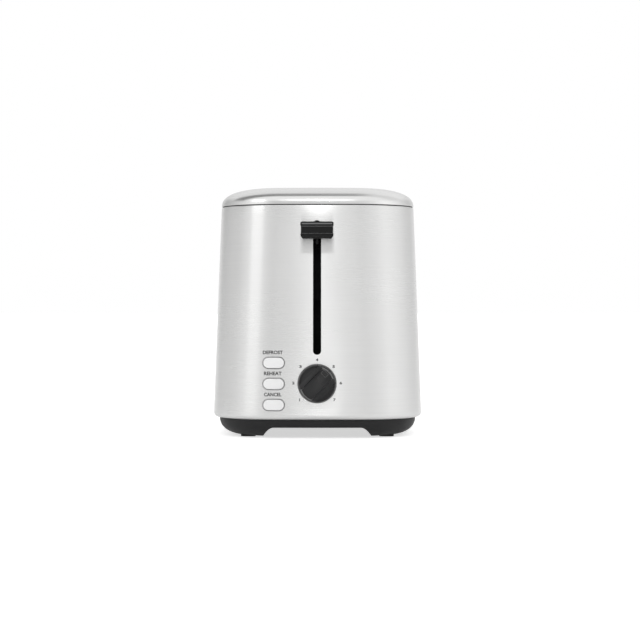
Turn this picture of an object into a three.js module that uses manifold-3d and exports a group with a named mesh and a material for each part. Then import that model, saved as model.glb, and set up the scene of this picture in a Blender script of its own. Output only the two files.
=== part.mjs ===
// A two-slice pop-up toaster as a bench assembly: steel housing, plastic base, toasting chamber, lever
// carriage, timer controls and crumb tray, each piece its own mesh.
// Millimetres, +Z up. The control end faces -Y. The origin is the middle of the footprint on the table.

import * as THREE from "three";
import { mergeVertices } from "three/addons/utils/BufferGeometryUtils.js";
import Module from "manifold-3d";

const wasm = await Module();
wasm.setup();

// ---------------------------------------------------------------- driving dimensions

// Fits.
const gap = 0.3;
const slide = 0.5;

// Steel housing. Every wall leans inwards by draft mm for each mm of height.
const bodyWidth = 172;
const bodyLength = 286;
const bodyBottom = 15.3;
const bodyTop = 187.6;
const bodyWall = 0.8;
const draft = 0.0375;
const endFlat = 76;
const cornerRadius = (bodyWidth - endFlat) / 2;
const endBow = 3;
const bottomRoll = 4;
const topFlange = 2.4;
const flangeBend = 1;

// Domed top cover. Its edge is a quarter of a superellipse, edgeReach inwards and domeHeight up.
const seamGap = 0.6;
const domeHeight = 15.4;
const edgeReach = 45;
const edgePower = 2.5;
const coverWall = 0.8;
const lipInset = 3.2;
const lipDepth = 4;

// Spaces between the housing and the toasting chamber.
const frontBay = 63;
const rearBay = 51;
const sideBay = 22;
const topBay = 9.6;

// Toasting chamber.
const chamberFront = frontBay - bodyLength / 2;
const chamberRear = bodyLength / 2 - rearBay;
const plateWall = 0.8;
const plateHalfWidth = bodyWidth / 2 - sideBay;
const plateBottom = 20;
const plateTop = bodyTop - topBay;
const sideWallX = plateHalfWidth - 2;
const cardX = plateHalfWidth - 10;
const cardWall = 1;
const cardBottom = plateBottom + 14;
const cardTop = plateTop - 8;
const cardTabHeight = 12;
const ribbonWidth = 2;
const ribbonThickness = 0.4;
const ribbonTurns = 7;

// Bread slots, one on each side of the middle card.
const slotWidth = 32;
const slotEnds = 11;
const slotLength = chamberRear - chamberFront - 2 * slotEnds;
const slotCorner = 6;
const slotSpacing = cardX;
const slotMiddleY = (chamberFront + chamberRear) / 2;
const slotRimDepth = 8;

// Bread guides: wire grids that close on the slice as the lever goes down.
const guideOffset = 15;
const guideTravel = 6;
const guideWire = 0.9;
const guideRail = 1.1;
const guideWires = 7;
const guideBottom = plateBottom + 16;
const guideTop = plateTop - 6;

// Plastic base: a shallow bowl with two crossing tunnels under it that leave four feet. The wall of the bowl has
// curved in by less than bowlAllowance where it meets the floor.
const baseInset = 5.1;
const baseWall = 2.2;
const baseBottom = 0.7;
const baseRimTop = 19.2;
const bowlReach = 22;
const bowlPower = 2.3;
const footFloor = 6;
const bowlAllowance = 1.5;
const tunnelTop = 8.6;
const tunnelFlare = 9;
const floorThickness = 2;
const frontTunnelHalf = bodyWidth / 2 - 51;
const sideTunnelHalf = bodyLength / 2 - 77;

// Rubber feet, posts and screws.
const padSize = [12, 20];
const padCorner = 3;
const padHeight = 3;
const padPlace = [bodyWidth / 2 - 29.5, bodyLength / 2 - 39];
const postRadius = 4.5;
const postPlace = [plateHalfWidth - postRadius - 3, bodyLength / 2 - 57];
const postTop = 23.5;
const screwRadius = 1.5;
const screwHeadRadius = 3.3;
const screwHeadHeight = 1.8;
const screwTip = 28;

// Crumb tray and cord gland.
const trayHalfWidth = postPlace[0] - postRadius - 2;
const trayBottom = 11;
const trayTop = 14.8;
const trayWall = 0.8;
const handleMargin = 3.5;
const glandPlace = [-30, 34];
const glandRadius = 7;
const glandNeck = 4.9;
const glandBore = 3.6;

// Lever, carriage and racks, drawn with the lever up. The racks stop rackLow above the chamber's bottom edge.
const rackLow = 20;
const rackHeadroom = 58;
const rackTop = plateTop - rackHeadroom;
const leverTravel = rackTop - plateBottom - rackLow;
const leverKnobSize = [26.4, 12, 13.5];
const leverKnobZ = bodyTop - 21;
const leverClearance = 0.7;
const armWall = 1.2;
const armHeight = 14;
const armDrop = 4;
const neckWidth = 4.4;
const slitWidth = neckWidth + 2 * slide;
const leverSlotWidth = slitWidth + 1.1;
const leverSlotEnds = 8.5;
const carriageWall = 1.2;
const carriageY = chamberFront - 13.2;
const rackBar = [1.4, 9];
const rackFingers = 7;
const rackFingerHalf = 7;
const rodPlace = [-12, chamberFront - 20];
const rodRadius = 2.5;
const springPlace = [16, chamberFront - 24];
const springRadius = 3.6;
const springWire = 1;
const pegRadius = 1.2;
const topPegZ = plateTop - 3.5;
const carriagePegZ = rackTop + 5;

// Magnet and contacts, in front of the chamber.
const keeperX = postPlace[0] - 28.5;
const keeperGap = 0.6;
const magnetHeight = 16;
const pusherX = [-40, -26];
const bladeXs = { live: -37, neutral: -30 };
const bladeWall = 0.6;

// Controls on the front wall.
const dialZ = 44.4;
const dialRadius = 15.7;
const dialSkirt = 6;
const dialGrip = 7;
const dialGripWidth = 11.6;
const dialRestAngle = 45;
const shaftRadius = 3;
const bushingRadius = 3.9;
const buttonX = -34.7;
const buttonZ = { defrost: 60.9, reheat: 44.1, cancel: 27.3 };
const buttonSize = [16.6, 8.4];
const buttonMargin = 0.8;
const buttonProud = 0.8;
const buttonTravel = 1;
const stemSize = [6, 4];
const boardFront = chamberFront - 42;
const boardWall = 1.6;
const bracketX = [-43, 22];
const bracketFront = wallY(bodyBottom, -1, bracketX[0], baseInset + baseWall + bowlAllowance) + 2 * slide;
const bracketWall = 2;
const switchHalf = 3;
const switchDepth = 3.2;
const plungerRadius = 1.5;
const plungerOut = 1.6;

// ---------------------------------------------------------------- solids and shapes

function toSolid(geometry) {
  const bare = geometry.clone();
  bare.deleteAttribute("normal");
  bare.deleteAttribute("uv");
  const merged = mergeVertices(bare, 1e-4);
  const vertProperties = merged.attributes.position.array;
  const triVerts = new Uint32Array(merged.index.array);
  return new wasm.Manifold(new wasm.Mesh({ numProp: 3, vertProperties, triVerts }));
}

function toGeometry(solid) {
  const mesh = solid.getMesh();
  const geometry = new THREE.BufferGeometry();
  geometry.setAttribute("position", new THREE.BufferAttribute(mesh.vertProperties, 3));
  geometry.setIndex(new THREE.BufferAttribute(mesh.triVerts, 1));
  return geometry;
}

function join(...geometries) {
  return toGeometry(geometries.map(toSolid).reduce((sum, next) => sum.add(next)));
}

function cut(geometry, ...tools) {
  return toGeometry(tools.map(toSolid).reduce((rest, tool) => rest.subtract(tool), toSolid(geometry)));
}

function common(first, second) {
  return toGeometry(toSolid(first).intersect(toSolid(second)));
}

// A box between two x, two y and two z values.
function block([x0, x1], [y0, y1], [z0, z1]) {
  const box = new THREE.BoxGeometry(x1 - x0, y1 - y0, z1 - z0);
  return box.translate((x0 + x1) / 2, (y0 + y1) / 2, (z0 + z1) / 2);
}

// A round rod between two points. Its far end may have another radius.
function rod(from, to, radius, sides = 14, farRadius = radius) {
  const start = new THREE.Vector3(...from);
  const along = new THREE.Vector3(...to).sub(start);
  const cylinder = new THREE.CylinderGeometry(farRadius, radius, along.length(), sides);
  cylinder.translate(0, along.length() / 2, 0);
  const up = new THREE.Vector3(0, 1, 0);
  const turn = new THREE.Quaternion().setFromUnitVectors(up, along.clone().normalize());
  return cylinder.applyQuaternion(turn).translate(start.x, start.y, start.z);
}

function roundedRectangle(width, height, radius) {
  const x = width / 2 - radius;
  const y = height / 2 - radius;
  const shape = new THREE.Shape();
  shape.absarc(x, y, radius, 0, Math.PI / 2);
  shape.absarc(-x, y, radius, Math.PI / 2, Math.PI);
  shape.absarc(-x, -y, radius, Math.PI, 1.5 * Math.PI);
  shape.absarc(x, -y, radius, 1.5 * Math.PI, 2 * Math.PI);
  shape.closePath();
  return shape;
}

function polygon(points) {
  return new THREE.Shape(points.map(([x, y]) => new THREE.Vector2(x, y)));
}

function extrude(shape, depth, curveSegments = 4) {
  return new THREE.ExtrudeGeometry(shape, { depth, bevelEnabled: false, curveSegments });
}

// A shape drawn in plan, from z0 to z1.
function flat(shape, [z0, z1], curveSegments) {
  return extrude(shape, z1 - z0, curveSegments).translate(0, 0, z0);
}

// A shape drawn as seen from the front, in x and z, from y0 to y1.
function upright(shape, [y0, y1], curveSegments) {
  return extrude(shape, y1 - y0, curveSegments).rotateX(Math.PI / 2).translate(0, y1, 0);
}

// A shape drawn as seen from the side, in y and z, from x0 to x1.
function sideways(shape, [x0, x1], curveSegments) {
  const turn = new THREE.Matrix4().makeBasis(
    new THREE.Vector3(0, 1, 0),
    new THREE.Vector3(0, 0, 1),
    new THREE.Vector3(1, 0, 0),
  );
  return extrude(shape, x1 - x0, curveSegments).applyMatrix4(turn).translate(x0, 0, 0);
}

// ---------------------------------------------------------------- the housing's outline

const cornerSteps = 7;
const endSteps = 4;
const tightestCorner = 3;

// One level ring of the housing's outline, inset from the steel's outside: a rounded rectangle with bowed
// ends, anticlockwise from above. It lies at z, with the size that the leaning walls have at height level.
function housingRing(inset, z, level = z) {
  const taper = draft * (level - bodyBottom) + inset;
  const halfWidth = bodyWidth / 2 - taper;
  const halfLength = bodyLength / 2 - taper;
  const radius = Math.max(cornerRadius - inset, tightestCorner);
  const centreX = halfWidth - radius;
  const centreY = halfLength - radius;
  const ring = [];
  [[1, 1], [-1, 1], [-1, -1], [1, -1]].forEach(([sideX, sideY], corner) => {
    for (let step = 0; step <= cornerSteps; step++) {
      const angle = ((corner + step / cornerSteps) * Math.PI) / 2;
      ring.push([sideX * centreX + radius * Math.cos(angle), sideY * centreY + radius * Math.sin(angle)]);
    }
    for (let step = 1; sideX === sideY && step < endSteps; step++) {
      ring.push([sideX * centreX * (1 - (2 * step) / endSteps), sideY * halfLength]);
    }
  });
  return ring.map(([x, y]) => [x, y * (1 - (endBow / halfLength) * (x / halfWidth) ** 2), z]);
}

// Skins a stack of rings that have equally many points. A closed stack joins its last ring to its first, and an
// open one is capped at both ends.
function skin(rings, closed) {
  const size = rings[0].length;
  const positions = rings.flat(2);
  const index = [];
  const spans = closed ? rings.length : rings.length - 1;
  for (let r = 0; r < spans; r++) {
    const low = r * size;
    const high = ((r + 1) % rings.length) * size;
    for (let i = 0; i < size; i++) {
      const next = (i + 1) % size;
      index.push(low + i, low + next, high + next, low + i, high + next, high + i);
    }
  }
  if (!closed) {
    const top = (rings.length - 1) * size;
    const middle = rings.length * size;
    positions.push(0, 0, rings[0][0][2], 0, 0, rings.at(-1)[0][2]);
    for (let i = 0; i < size; i++) {
      const next = (i + 1) % size;
      index.push(middle, next, i, middle + 1, top + i, top + next);
    }
  }
  const geometry = new THREE.BufferGeometry();
  geometry.setAttribute("position", new THREE.Float32BufferAttribute(positions, 3));
  geometry.setIndex(index);
  return geometry;
}

// How far a quarter superellipse has gone in and up, at a share of its way round.
function quarterCurve(share, reach, height, power) {
  const angle = (share * Math.PI) / 2;
  const across = Math.cos(angle) ** (2 / power);
  const up = Math.sin(angle) ** (2 / power);
  return { inwards: reach * (1 - across), upwards: height * up };
}

// The y of an end of the outline at x and z: end is -1 at the front and 1 at the rear. Without an inset it lies
// on the steel's outer face.
function wallY(z, end, x = 0, inset = 0) {
  const taper = draft * (z - bodyBottom) + inset;
  const halfWidth = bodyWidth / 2 - taper;
  const halfLength = bodyLength / 2 - taper;
  const radius = cornerRadius - inset;
  const intoCorner = Math.max(Math.abs(x) - (halfWidth - radius), 0);
  const y = halfLength - radius + Math.sqrt(radius ** 2 - intoCorner ** 2);
  return end * y * (1 - (endBow / halfLength) * (x / halfWidth) ** 2);
}

// ---------------------------------------------------------------- housing

const tunnelSteps = 4;
const armBottom = leverKnobZ - leverKnobSize[2] / 2 - armDrop;
const armTop = armBottom + armHeight;
const leverSlot = { bottom: armBottom - leverTravel - leverSlotEnds, top: armTop + leverSlotEnds - 3.3 };

function bodyShell() {
  const profile = [];
  const rollSteps = 3;
  for (let step = 0; step <= rollSteps; step++) {
    const angle = (step / rollSteps) * (Math.PI / 2);
    profile.push([bottomRoll * (1 - Math.sin(angle)), bodyBottom + bottomRoll * (1 - Math.cos(angle))]);
  }
  profile.push([0, bodyTop - flangeBend], [flangeBend, bodyTop], [topFlange, bodyTop]);
  profile.push([topFlange, bodyTop - bodyWall], [bodyWall, bodyTop - bodyWall - flangeBend]);
  const innerRoll = bottomRoll - bodyWall;
  for (let step = rollSteps; step >= 0; step--) {
    const angle = (step / rollSteps) * (Math.PI / 2);
    profile.push([
      bodyWall + innerRoll * (1 - Math.sin(angle)),
      bodyBottom + bodyWall + innerRoll * (1 - Math.cos(angle)),
    ]);
  }
  const shell = skin(profile.map(([inset, z]) => housingRing(inset, z)), true);

  const frontCut = [wallY(bodyBottom, -1) - slide, boardFront];
  const slotHeight = leverSlot.top - leverSlot.bottom;
  const leverOutline = roundedRectangle(leverSlotWidth, slotHeight, leverSlotWidth / 2 - 0.01);
  const leverCut = upright(leverOutline, frontCut, 6);
  leverCut.translate(0, 0, (leverSlot.top + leverSlot.bottom) / 2);
  const buttonCuts = Object.values(buttonZ).map((z) => {
    const [width, height] = buttonSize.map((size) => size + 2 * buttonMargin);
    return upright(roundedRectangle(width, height, height / 2 - 0.01), frontCut, 5).translate(buttonX, 0, z);
  });
  const shaftCut = rod([0, frontCut[0], dialZ], [0, frontCut[1], dialZ], bushingRadius + slide);
  const [glandX, glandZ] = glandPlace;
  const rearY = wallY(glandZ, 1);
  const glandInside = [glandX, rearY - glandRadius, glandZ];
  const glandOutside = [glandX, rearY + glandRadius, glandZ];
  const glandCut = rod(glandInside, glandOutside, glandNeck + gap);
  return cut(shell, leverCut, ...buttonCuts, shaftCut, glandCut);
}

const coverBottom = bodyTop + seamGap;
const coverTop = coverBottom + domeHeight;
const slotXs = [-slotSpacing / 2, slotSpacing / 2];

function dome(wall) {
  const steps = 7;
  const rings = [housingRing(wall, coverBottom - (wall ? slide : 0), coverBottom)];
  for (let step = 1; step <= steps; step++) {
    const { inwards, upwards } = quarterCurve(step / steps, edgeReach - wall, domeHeight - wall, edgePower);
    rings.push(housingRing(wall + inwards, coverBottom + upwards, coverBottom));
  }
  return skin(rings, false);
}

// A plan outline of one bread slot, grown all round.
function slotShape(grow) {
  return roundedRectangle(slotWidth + 2 * grow, slotLength + 2 * grow, slotCorner + grow);
}

function slotCollar(x, inner, wall, heights) {
  const shape = slotShape(inner + wall);
  shape.holes.push(slotShape(inner));
  return flat(shape, heights).translate(x, slotMiddleY, 0);
}

function topCover() {
  const lipTop = coverBottom + 7.6;
  const lip = [
    [lipInset, coverBottom - lipDepth],
    [lipInset, lipTop],
    [lipInset + coverWall, lipTop],
    [lipInset + coverWall, coverBottom - lipDepth],
  ].map(([inset, z]) => housingRing(inset, z, coverBottom));
  const rimHeights = [coverTop - slotRimDepth, coverTop - coverWall / 2];
  const rims = slotXs.map((x) => slotCollar(x, 0, coverWall, rimHeights));
  const shell = join(cut(dome(0), dome(coverWall)), skin(lip, true), ...rims);
  const openings = slotXs.map((x) =>
    flat(slotShape(0), [coverTop - slotRimDepth - slide, coverTop + slide]).translate(x, slotMiddleY, 0),
  );
  return cut(shell, ...openings);
}

// The bowl of the base, shrunk by wall and with its bottom at z.
function bowl(wall, z, top) {
  const steps = 5;
  const rings = [];
  for (let step = steps; step >= 0; step--) {
    const { inwards, upwards } = quarterCurve(step / steps, bowlReach - wall / 2, bodyBottom - z, bowlPower);
    rings.push(housingRing(baseInset + wall + inwards, bodyBottom - upwards, bodyBottom));
  }
  rings.push(housingRing(baseInset + wall, top, bodyBottom));
  return skin(rings, false);
}

// The section of a tunnel under the base: flat on top, with flared feet on both sides.
function tunnelShape(half, top) {
  const foot = half + tunnelFlare;
  const shape = new THREE.Shape();
  shape.moveTo(-foot, -1);
  shape.lineTo(-foot, baseBottom);
  shape.quadraticCurveTo(-half - tunnelFlare / 2, top, -half, top);
  shape.lineTo(half, top);
  shape.quadraticCurveTo(half + tunnelFlare / 2, top, foot, baseBottom);
  shape.lineTo(foot, -1);
  return shape;
}

function tunnels(grow) {
  const top = tunnelTop + grow;
  const along = upright(tunnelShape(frontTunnelHalf + grow, top), [-bodyLength, bodyLength], tunnelSteps);
  const across = sideways(tunnelShape(sideTunnelHalf + grow, top), [-bodyWidth, bodyWidth], tunnelSteps);
  return [along, across];
}

const baseRear = bodyLength / 2 - baseInset;
const signs = [-1, 1];
const fourCorners = signs.flatMap((x) => signs.map((y) => [x, y]));
const floorTop = tunnelTop + floorThickness;

function base() {
  const inside = cut(bowl(baseWall, footFloor, baseRimTop + slide), ...tunnels(floorThickness));
  const tub = cut(bowl(0, baseBottom, baseRimTop), ...tunnels(0), inside);
  const posts = fourCorners.map(([x, y]) => {
    const [px, py] = [x * postPlace[0], y * postPlace[1]];
    return rod([px, py, footFloor - slide], [px, py, postTop], postRadius);
  });
  const rails = signs.map((side) => {
    const inner = side * (trayHalfWidth + slide);
    const outer = inner + side * 1.2;
    const xs = [Math.min(inner, outer), Math.max(inner, outer)];
    return block(xs, [chamberFront, chamberRear + 20], [floorTop - slide, trayTop]);
  });
  const screwCuts = fourCorners.flatMap(([x, y]) => {
    const [px, py] = [x * postPlace[0], y * postPlace[1]];
    return [
      rod([px, py, 0], [px, py, footFloor - slide], screwHeadRadius + gap),
      rod([px, py, 0], [px, py, postTop + slide], screwRadius + gap, 10),
    ];
  });
  const padCuts = fourCorners.map(([x, y]) => {
    const pocket = roundedRectangle(padSize[0] + 2 * gap, padSize[1] + 2 * gap, padCorner);
    return flat(pocket, [0, padHeight + gap], 2).translate(x * padPlace[0], y * padPlace[1], 0);
  });
  const window = block(
    [-trayHalfWidth - handleMargin - gap, trayHalfWidth + handleMargin + gap],
    [baseRear - cornerRadius / 2, bodyLength],
    [floorTop, trayTop + gap],
  );
  const vents = [-20, 0, 20].flatMap((x) =>
    [-108, 118].map((y) => flat(roundedRectangle(5, 22, 2.4), [0, floorTop + slide], 2).translate(x, y, 0)),
  );
  return cut(join(tub, ...posts, ...rails), ...screwCuts, ...padCuts, window, ...vents);
}

function cordGland() {
  const bands = [
    [glandBore, -4],
    [glandRadius - 1, -4],
    [glandRadius - 1, -2.2],
    [glandNeck, -2.2],
    [glandNeck, gap],
    [glandRadius, gap],
    [glandRadius - 1, 2.3],
    [glandBore, 2.3],
  ];
  const profile = bands.map(([radius, out]) => new THREE.Vector2(radius, out));
  const [x, z] = glandPlace;
  return new THREE.LatheGeometry([...profile, profile[0]], 16).translate(x, wallY(z, 1, x), z);
}

// ---------------------------------------------------------------- toasting chamber

const rackXs = slotXs;
const cardXs = { left: -cardX, centre: 0, right: cardX };
const guideXs = {
  left_outer: [slotXs[0], -1],
  left_inner: [slotXs[0], 1],
  right_inner: [slotXs[1], -1],
  right_outer: [slotXs[1], 1],
};

// The middle heights of the tabs at the ends of a card, above and below its winding.
const cardTabs = [cardBottom + cardTabHeight / 2, cardTop - cardTabHeight / 2];

// Openings that both end plates share: for the racks, the guides' rails and the cards' tabs.
function plateCuts(y) {
  const through = [y - slide, y + plateWall + slide];
  const racks = rackXs.map((x) => {
    const half = rackBar[0] / 2 + slide;
    return block([x - half, x + half], through, [rackTop - rackBar[1] - leverTravel - 2, rackTop + 2]);
  });
  const guides = Object.values(guideXs).flatMap(([x, side]) =>
    [guideBottom, guideTop].map((z) => {
      const clear = guideRail + slide;
      const ends = [x + side * (guideOffset + clear), x + side * (guideOffset - guideTravel - clear)];
      return block([Math.min(...ends), Math.max(...ends)], through, [z - clear, z + clear]);
    }),
  );
  const tabs = Object.values(cardXs).flatMap((x) =>
    cardTabs.map((z) => {
      const half = cardWall / 2 + gap;
      const reach = cardTabHeight / 2 + gap;
      return block([x - half, x + half], through, [z - reach, z + reach]);
    }),
  );
  return [...racks, ...guides, ...tabs];
}

// The folded feet of an end plate, with holes for the base screws. They run from the plate towards screwY.
function plateFeet(screwY, plateY) {
  const reach = postRadius + 1;
  const ys = [Math.min(screwY - reach, plateY), Math.max(screwY + reach, plateY + plateWall)];
  return signs.map((side) => {
    const xs = [side * (postPlace[0] - postRadius - 1), side * plateHalfWidth].sort((a, b) => a - b);
    return block(xs, ys, [postTop + gap, postTop + gap + plateWall]);
  });
}

function screwHoles(screwY) {
  return signs.map((side) => {
    const x = side * postPlace[0];
    return rod([x, screwY, postTop - 1], [x, screwY, postTop + 3], screwRadius + gap, 10);
  });
}

const plateSpan = [-plateHalfWidth, plateHalfWidth];
const magnetShelf = plateBottom + plateWall;

function chamberFrontPlate() {
  const wall = block(plateSpan, [chamberFront, chamberFront + plateWall], [plateBottom, plateTop]);
  const [rodX, rodY] = rodPlace;
  const [springX, springY] = springPlace;
  const plateBack = chamberFront + plateWall;
  const shelf = block([rodX - 8, keeperX + 14], [rodY - 17, plateBack], [plateBottom, magnetShelf]);
  const roof = block([rodX - 8, rodX + 8], [rodY - 8, plateBack], [plateTop - plateWall, plateTop]);
  const peg = rod([springX, springY - 3, topPegZ], [springX, chamberFront + slide, topPegZ], pegRadius, 10);
  const rodHoles = [plateBottom, plateTop].map((z) => {
    return rod([rodX, rodY, z - 2], [rodX, rodY, z + 2], rodRadius + gap);
  });
  const screwY = -postPlace[1];
  return cut(
    join(wall, shelf, roof, peg, ...plateFeet(screwY, chamberFront)),
    ...plateCuts(chamberFront),
    ...rodHoles,
    ...screwHoles(screwY),
  );
}

function chamberRearPlate() {
  const wall = block(plateSpan, [chamberRear, chamberRear + plateWall], [plateBottom, plateTop]);
  const screwY = postPlace[1];
  return cut(join(wall, ...plateFeet(screwY, chamberRear)), ...plateCuts(chamberRear), ...screwHoles(screwY));
}

function chamberSideWall(side) {
  const xs = [side * sideWallX, side * (sideWallX + plateWall)].sort((a, b) => a - b);
  const ys = [chamberFront + plateWall + gap, chamberRear - gap];
  return block(xs, ys, [postTop + 2, plateTop - plateWall - gap]);
}

// The frame over the chamber. Its collars stand round the slot rims of the cover, so crumbs stay inside.
function slotFrame() {
  const collarInner = coverWall + slide;
  const collarHeights = [plateTop + gap + plateWall / 2, coverTop - slotRimDepth + 2];
  const collars = slotXs.map((x) => slotCollar(x, collarInner, plateWall, collarHeights));
  const ys = [chamberFront - 4, chamberRear + 4];
  const sheet = block(plateSpan, ys, [plateTop + gap, plateTop + gap + plateWall]);
  const openings = slotXs.map((x) =>
    flat(slotShape(collarInner), [plateTop, plateTop + 2]).translate(x, slotMiddleY, 0),
  );
  return cut(join(sheet, ...collars), ...openings);
}

const cardEnds = [chamberFront + 6, chamberRear - 5];

function heaterCard() {
  const half = cardWall / 2;
  const sheet = block([-half, half], cardEnds, [cardBottom, cardTop]);
  const tabEnds = [chamberFront - 1, chamberRear + plateWall + 1];
  const tabs = cardTabs.map((z) => block([-half, half], tabEnds, [z - cardTabHeight / 2, z + cardTabHeight / 2]));
  return join(sheet, ...tabs);
}

// A flat ribbon wound round the card: level runs on one face, and slanting returns on the other.
function heatingRibbon() {
  const wound = [cardBottom + cardTabHeight + 3, cardTop - cardTabHeight - 3 - ribbonWidth];
  const pitch = (wound[1] - wound[0]) / ribbonTurns;
  const inner = cardWall / 2 + gap / 2;
  const outer = inner + ribbonThickness;
  const reach = gap / 2 + ribbonThickness;
  const ends = [cardEnds[0] - reach, cardEnds[1] + reach];
  const slope = pitch / (ends[1] - ends[0]);
  const pieces = [];
  for (let turn = 0; turn < ribbonTurns; turn++) {
    const z = wound[0] + turn * pitch;
    const width = [z, z + ribbonWidth];
    const wrapNext = [z + pitch, z + pitch + ribbonWidth];
    pieces.push(block([inner, outer], ends, width));
    pieces.push(block([-outer, outer], [ends[1] - ribbonThickness, ends[1]], width));
    pieces.push(block([-outer, outer], [ends[0], ends[0] + ribbonThickness], wrapNext));
    const slant = new THREE.Matrix4().set(1, 0, 0, 0, 0, 1, 0, 0, 0, -slope, 1, slope * ends[1], 0, 0, 0, 1);
    pieces.push(block([-outer, -inner], ends, width).applyMatrix4(slant));
  }
  return join(...pieces);
}

function breadGuide() {
  const ends = [chamberFront - 2, chamberRear + plateWall + 2];
  const rails = [guideBottom, guideTop].map((z) => rod([0, ends[0], z], [0, ends[1], z], guideRail, 6));
  const inside = [chamberFront + 10, chamberRear - 8];
  const wires = Array.from({ length: guideWires }, (_, i) => {
    const y = inside[0] + ((inside[1] - inside[0]) * i) / (guideWires - 1);
    return rod([0, y, guideBottom], [0, y, guideTop], guideWire, 6);
  });
  return join(...rails, ...wires);
}

// ---------------------------------------------------------------- lever and carriage

const knobBack = wallY(leverKnobZ - leverKnobSize[2] / 2 - leverTravel, -1) - leverClearance;
const knobFront = knobBack - leverKnobSize[1];
const knobBottom = leverKnobZ - leverKnobSize[2] / 2;
const knobTop = leverKnobZ + leverKnobSize[2] / 2;
const armFront = knobFront + 6;
const neckEnd = boardFront - 10;
const knobSocketBottom = knobBottom + 3;

function leverKnob() {
  const scoop = 2.2;
  const lip = 3.5;
  const side = new THREE.Shape();
  side.moveTo(knobBack, knobBottom);
  side.lineTo(knobBack, knobTop - 1.5);
  side.quadraticCurveTo(knobBack, knobTop, knobBack - 1.5, knobTop);
  side.lineTo(knobFront + 1.5, knobTop);
  side.quadraticCurveTo(knobFront, knobTop, knobFront, knobTop - 1.5);
  side.lineTo(knobFront, knobTop - lip + 1);
  side.quadraticCurveTo(knobFront + scoop, leverKnobZ, knobFront, knobBottom + lip - 1);
  side.lineTo(knobFront, knobBottom + 1.5);
  side.quadraticCurveTo(knobFront, knobBottom, knobFront + 1.5, knobBottom);
  const half = leverKnobSize[0] / 2;
  const neck = block([-neckWidth / 2, neckWidth / 2], [knobBack - 1, neckEnd], [knobBottom + 2, knobTop - 2]);
  const socketHalf = armWall / 2 + gap;
  const socketHeights = [knobSocketBottom - gap, armTop + gap];
  const socket = block([-socketHalf, socketHalf], [armFront - gap, neckEnd + 1], socketHeights);
  const relief = block([-socketHalf, socketHalf], [knobBack, neckEnd + 1], [armBottom, armTop + gap]);
  return cut(join(sideways(side, [-half, half], 3), neck), socket, relief);
}

function leverArm() {
  const back = carriageY - carriageWall - gap;
  const outline = polygon([
    [back, armBottom],
    [back, armTop],
    [armFront, armTop],
    [armFront, knobSocketBottom],
    [knobBack + 1, knobSocketBottom],
    [knobBack + 1, armBottom],
  ]);
  return sideways(outline, [-armWall / 2, armWall / 2]);
}

const carriageSpan = [carriageY - carriageWall, carriageY];
const rackBottom = rackTop - rackBar[1];

function carriagePlate() {
  const wing = rackXs[1] + 5;
  const outline = polygon([
    [-wing - 8, rackBottom],
    [wing + 6, rackBottom],
    [wing + 6, rackTop + 4],
    [springPlace[0] + 5, rackTop + 12],
    [6, armTop + 2],
    [rodPlace[0] - 6, armTop + 2],
    [rodPlace[0] - 6, rackTop + 8],
    [-wing - 8, rackTop + 4],
  ]);
  const [x, y] = springPlace;
  const peg = rod([x, y - 3, carriagePegZ], [x, carriageY - slide, carriagePegZ], pegRadius, 10);
  return join(upright(outline, carriageSpan), peg);
}

const bushHeights = [rackTop + 10, rackTop + 32];

function carriageBush() {
  const [x, y] = rodPlace;
  const body = block([x - 5.5, x + 5.5], [y - 5, carriageSpan[0] - gap], bushHeights);
  const bore = rod([x, y, bushHeights[0] - 1], [x, y, bushHeights[1] + 1], rodRadius + gap);
  return cut(body, bore);
}

const keeperBottom = magnetShelf + gap + magnetHeight + keeperGap + leverTravel;

function keeperPlate() {
  const ys = [rodPlace[1] - 12, carriageSpan[0] - gap];
  return block([keeperX - 10, keeperX + 10], ys, [keeperBottom, keeperBottom + 2.4]);
}

const pusherBottom = keeperBottom;

function contactPusher() {
  return block(pusherX, [rodPlace[1] - 8, carriageSpan[0] - gap], [pusherBottom, pusherBottom + 3]);
}

function breadRack() {
  const half = rackBar[0] / 2;
  const bar = block([-half, half], [carriageY + gap, chamberRear + 4], [rackBottom, rackTop - 1]);
  const first = chamberFront + 14;
  const spacing = (chamberRear - 12 - first) / (rackFingers - 1);
  const fingers = Array.from({ length: rackFingers }, (_, i) => {
    const y = first + i * spacing;
    return block([-rackFingerHalf, rackFingerHalf], [y - 0.8, y + 0.8], [rackTop - 4, rackTop]);
  });
  return join(bar, ...fingers);
}

function guideRod() {
  const [x, y] = rodPlace;
  return rod([x, y, plateBottom - 1.5], [x, y, plateTop + gap / 2], rodRadius);
}

// A close-wound extension spring: a ridged sleeve with an eye at each end, hung on two pegs.
function returnSpring() {
  const eyeRadius = springRadius - springWire / 2;
  const eyeLift = eyeRadius - springWire / 2 - pegRadius - gap;
  const eyes = [carriagePegZ + eyeLift, topPegZ - eyeLift];
  const coilEnds = [eyes[0] + eyeRadius / 2, eyes[1] - eyeRadius / 2];
  const ridges = 10;
  const pitch = (coilEnds[1] - coilEnds[0]) / ridges;
  const inner = springRadius - springWire;
  const profile = [new THREE.Vector2(inner, coilEnds[0])];
  for (let ridge = 0; ridge < ridges; ridge++) {
    const z = coilEnds[0] + ridge * pitch;
    profile.push(new THREE.Vector2(springRadius - 0.4, z), new THREE.Vector2(springRadius, z + pitch / 2));
  }
  profile.push(new THREE.Vector2(springRadius - 0.4, coilEnds[1]), new THREE.Vector2(inner, coilEnds[1]));
  const coils = new THREE.LatheGeometry([...profile, profile[0]], 8).rotateX(Math.PI / 2);
  const rings = eyes.map((z) => {
    const ring = new THREE.TorusGeometry(eyeRadius, springWire / 2, 5, 10);
    return ring.rotateX(Math.PI / 2).translate(0, 0, z);
  });
  return join(coils, ...rings).translate(...springPlace, 0);
}

// ---------------------------------------------------------------- controls

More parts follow.
